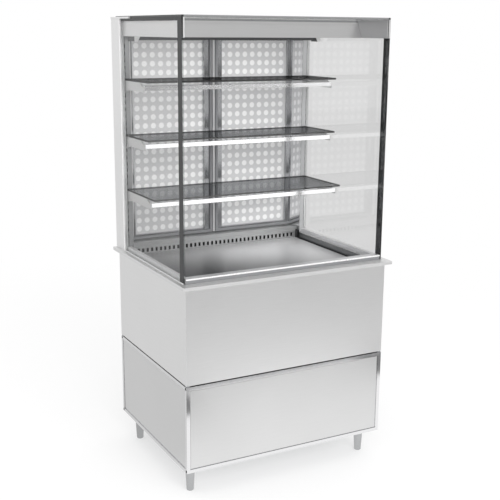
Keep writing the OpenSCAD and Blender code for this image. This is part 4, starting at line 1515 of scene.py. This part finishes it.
@dataclass(frozen=True)
class FloorPaper(Finish):
    """White paper that keeps a soft shadow and runs out into the white of the room.

    Metal mirrors a light of its own from it, zone after zone from the case outwards.
    """

    paper: str = "#dadada"
    shadow_paper: str = "#b4b4b4"
    paper_glow: float = 0.53
    fade: tuple[float, float] = (1.6, 4.0)
    near_glow: float = 1.16
    # Start and end along Y of each change, and the level after it
    zones: tuple[Point, ...] = (
        (-1.45, -1.48, 0.3), (-1.53, -1.57, 1.0), (-1.75, -3.0, 0.42), (-4.8, -5.6, 1.6),
        (-12.2, -13.8, 0.2), (-0.6, 0.1, 0.8),
    )
    # Dark cards, each with two edges along X and two along Y
    cards: tuple[tuple[Edge, ...], ...] = (
        (("X", -0.9, -0.85), ("X", 0.03, -0.03), ("Y", -1.14, -1.2), ("Y", -1.55, -1.5)),
        (("X", 1.06, 1.12), ("X", 2.0, 1.9), ("Y", -1.14, -1.2), ("Y", -1.55, -1.5)),
    )
    card_level: float = 0.25
    # Seen by the left corner's rounded edges, and by the right end of the top rail
    lights: tuple[tuple[float, tuple[Edge, ...]], ...] = (
        (CORNER_GLOW, (("X", -0.62, -0.8), ("Y", -0.5, -0.7))),
        (2.6, (("X", 19.1, 19.4), ("Y", -20.0, -21.0))),
    )

    def sheen(self, node: Adder, parts: dict[str, Socket]) -> Socket:
        """Sets how much light metal mirrors from each zone.

        Args:
            node: Adds a node to the material's tree.
            parts: Coordinates of a point.

        Returns:
            Strength of the light.
        """
        mirrored: Socket | float = self.near_glow
        for start, end, level in self.zones:
            inside = soft_zone(node, parts, (("Y", start, end),))
            mirrored = node("Mix", {0: inside, 2: mirrored, 3: level})
        for edges in self.cards:
            covered = soft_zone(node, parts, edges)
            mirrored = node("Mix", {0: covered, 2: mirrored, 3: self.card_level})
        for level, edges in self.lights:
            lit = soft_zone(node, parts, edges, level)
            mirrored = node("Math", [mirrored, lit], operation="MAXIMUM")
        return mirrored

    def shader(self, node: Adder) -> Socket:
        """Builds the paper.

        Args:
            node: Adds a node to the material's tree.

        Returns:
            Its shader output.
        """
        path = node("LightPath").node.outputs
        place = node("TexCoord", out="Object")
        parts = node("SeparateXYZ", [place]).node.outputs
        sheen = node("Emission", [WHITE, self.sheen(node, parts)])
        shaded = node("BsdfDiffuse", [linear(self.shadow_paper)])
        glow = node("Emission", [WHITE, self.paper_glow])
        near_lit = node("AddShader", [shaded, glow])
        far_level = node("Mix", {0: path["Is Camera Ray"], 2: THROUGH_GLASS, 3: 1.0})
        far_lit = node("Emission", [WHITE, far_level])
        distance = node("VectorMath", [place], "Value", operation="LENGTH")
        away = soft_zone(node, {"distance": distance}, (("distance", *self.fade),))
        lit = node("MixShader", [away, near_lit, far_lit])
        surface = node("BsdfDiffuse", [linear(self.paper)])
        for ray, shown in (("Camera", lit), ("Transmission", lit), ("Glossy", sheen)):
            surface = node("MixShader", [path[f"Is {ray} Ray"], surface, shown])
        return surface


@dataclass
class Studio:
    """Camera, world, lamps and floor."""

    # Place and turn of the camera, fitted to the photograph
    eye: Point = (-1.8990, -3.5621, 1.9038)
    yaw: float = 0.491
    pitch: float = -0.234
    roll: float = 0.008
    focal_px: float = 920.563
    image_px: float = 500.0
    sensor_mm: float = 36.0
    world_strength: float = 0.95
    # What metal mirrors of the world: before the case from its foot up, and behind it
    mirrored_front: tuple[float, float] = (0.35, 0.95)
    mirrored_rear: float = 0.93
    # Reach of the floor: the polished rails show where it ends before the dim room
    floor_near: float = 16.0
    floor_far: float = 60.0
    floor_far_from: float = 16.5
    fill_watts: float = 200.0
    lamp_watts: float = 0.7
    pan_watts: float = 1.1

    def camera(self) -> None:
        """Makes the camera at the photograph's viewing angle."""
        forward = Vector((
            math.sin(self.yaw) * math.cos(self.pitch),
            math.cos(self.yaw) * math.cos(self.pitch),
            math.sin(self.pitch),
        ))
        flat_right = Vector((math.cos(self.yaw), -math.sin(self.yaw), 0.0))
        flat_up = flat_right.cross(forward)
        right = flat_right * math.cos(self.roll) + flat_up * math.sin(self.roll)
        up = -flat_right * math.sin(self.roll) + flat_up * math.cos(self.roll)
        data = bpy.data.cameras.new("camera")
        data.sensor_width = self.sensor_mm
        data.lens = self.focal_px * self.sensor_mm / self.image_px
        camera = bpy.data.objects.new("camera", data)
        turn = Matrix((right, up, -forward)).transposed().to_4x4()
        camera.matrix_world = Matrix.Translation(self.eye) @ turn
        bpy.context.scene.collection.objects.link(camera)
        bpy.context.scene.camera = camera

    def world(self) -> None:
        """Makes a pale surrounding that is white to the eye and dimmer before the case."""
        world = bpy.data.worlds.new("studio_world")
        world.use_nodes = True
        world.node_tree.nodes.clear()
        node = partial(add_node, world.node_tree)
        direction = node("TexCoord", out="Generated")
        parts = node("SeparateXYZ", [direction]).node.outputs
        low, high = self.mirrored_front
        front = node("MapRange", {
            "Value": parts["Z"], "From Min": 0.05, "From Max": 0.9, "To Min": low, "To Max": high,
        })
        rear = soft_zone(node, parts, (("Y", -0.45, 0.25),))
        mirrored = node("Mix", {0: rear, 2: front, 3: self.mirrored_rear})
        # A tall soft box before the left corner, seen only by rounded edges
        corner = soft_zone(node, parts, (("X", -0.5, -0.75), ("Y", -0.2, -0.4)), CORNER_GLOW)
        mirrored = node("Math", [mirrored, corner], operation="MAXIMUM")
        path = node("LightPath").node.outputs
        level: Socket | float = self.world_strength
        for ray, strength in (
            ("Glossy", mirrored), ("Transmission", THROUGH_GLASS), ("Camera", 1.0),
        ):
            level = node("Mix", {0: path[f"Is {ray} Ray"], 2: level, 3: strength})
        background = node("Background", [WHITE, level])
        node("OutputWorld", [background])
        bpy.context.scene.world = world

    def floor(self) -> None:
        """Lays a white floor that keeps the object's soft shadow."""
        near, far, start = self.floor_near, self.floor_far, self.floor_far_from
        outline = (
            (-near, -near), (start, -near), (start, -far), (far, -far), (far, near), (-near, near)
        )
        mesh_data = bmesh.new()
        mesh_data.faces.new([mesh_data.verts.new((x, y, 0.0)) for x, y in outline])
        floor = finish_mesh(mesh_data, "floor")
        floor.data.materials.append(FloorPaper("white_studio_floor").material())

    def area_lamp(
        self, name: str, size: tuple[float, float], watts: float, place: Point, aim: Vector
    ) -> Piece:
        """Hangs a flat lamp that metal and glass don't mirror.

        Args:
            name: Name of the lamp.
            size: Its width and depth.
            watts: Its power.
            place: Its middle.
            aim: Direction in which it shines.

        Returns:
            The lamp.
        """
        data = bpy.data.lights.new(name, "AREA")
        data.shape = "RECTANGLE"
        data.size, data.size_y = size
        data.energy = watts
        lamp = bpy.data.objects.new(name, data)
        lamp.location = place
        lamp.rotation_mode = "QUATERNION"
        lamp.rotation_quaternion = aim.to_track_quat("-Z", "Y")
        lamp.visible_glossy = lamp.visible_transmission = False
        bpy.context.scene.collection.objects.link(lamp)
        return lamp

    def lamps(self) -> None:
        """Hangs a large soft lamp before the case and two small ones inside it."""
        place = (-1.0, -5.0, 2.6)
        aim = Vector((0.0, 0.0, 1.2)) - Vector(place)
        self.area_lamp("soft_box", (5.0, 3.0), self.fill_watts, place, aim)
        # The first stands for the case's own lamp, the second lifts the pan's rear right
        low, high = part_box("lamp_cover")
        shelf_low, shelf_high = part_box("lower_shelf")
        under_canopy = (0.0, (low[1] + high[1]) / 2, low[2] - 0.004)
        under_shelf = (0.2, shelf_high[1] - 0.08, shelf_low[2] - 0.02)
        strip_size = (high[0] - low[0], high[1] - low[1])
        for name, size, watts, place, aim in (
            ("lamp_strip", strip_size, self.lamp_watts, under_canopy, (0.0, 0.5, -1.0)),
            ("pan_strip", (0.55, 0.06), self.pan_watts, under_shelf, (0.1, -0.6, -1.0)),
        ):
            self.area_lamp(name, size, watts, place, Vector(aim)).visible_camera = False

    def build(self) -> None:
        """Sets up the whole studio."""
        self.camera()
        self.world()
        self.floor()
        self.lamps()
        bpy.context.scene.view_settings.view_transform = "Standard"
        log.info("studio set up")


def main() -> None:
    """Builds the case class by class."""
    logging.basicConfig(level=logging.INFO, format="%(name)s: %(message)s")
    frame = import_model()
    Studio().build()
    shop = Workshop(frame)
    for assembly in (Cabinet, Counter, GlassHousing, Shelving, RearDoors, CoolingUnit, Controls):
        assembly(shop).build()
        log.info("%s done", assembly.__name__)
    log.info("%d pieces dressed", shop.count)


if __name__ == "__main__":
    main()
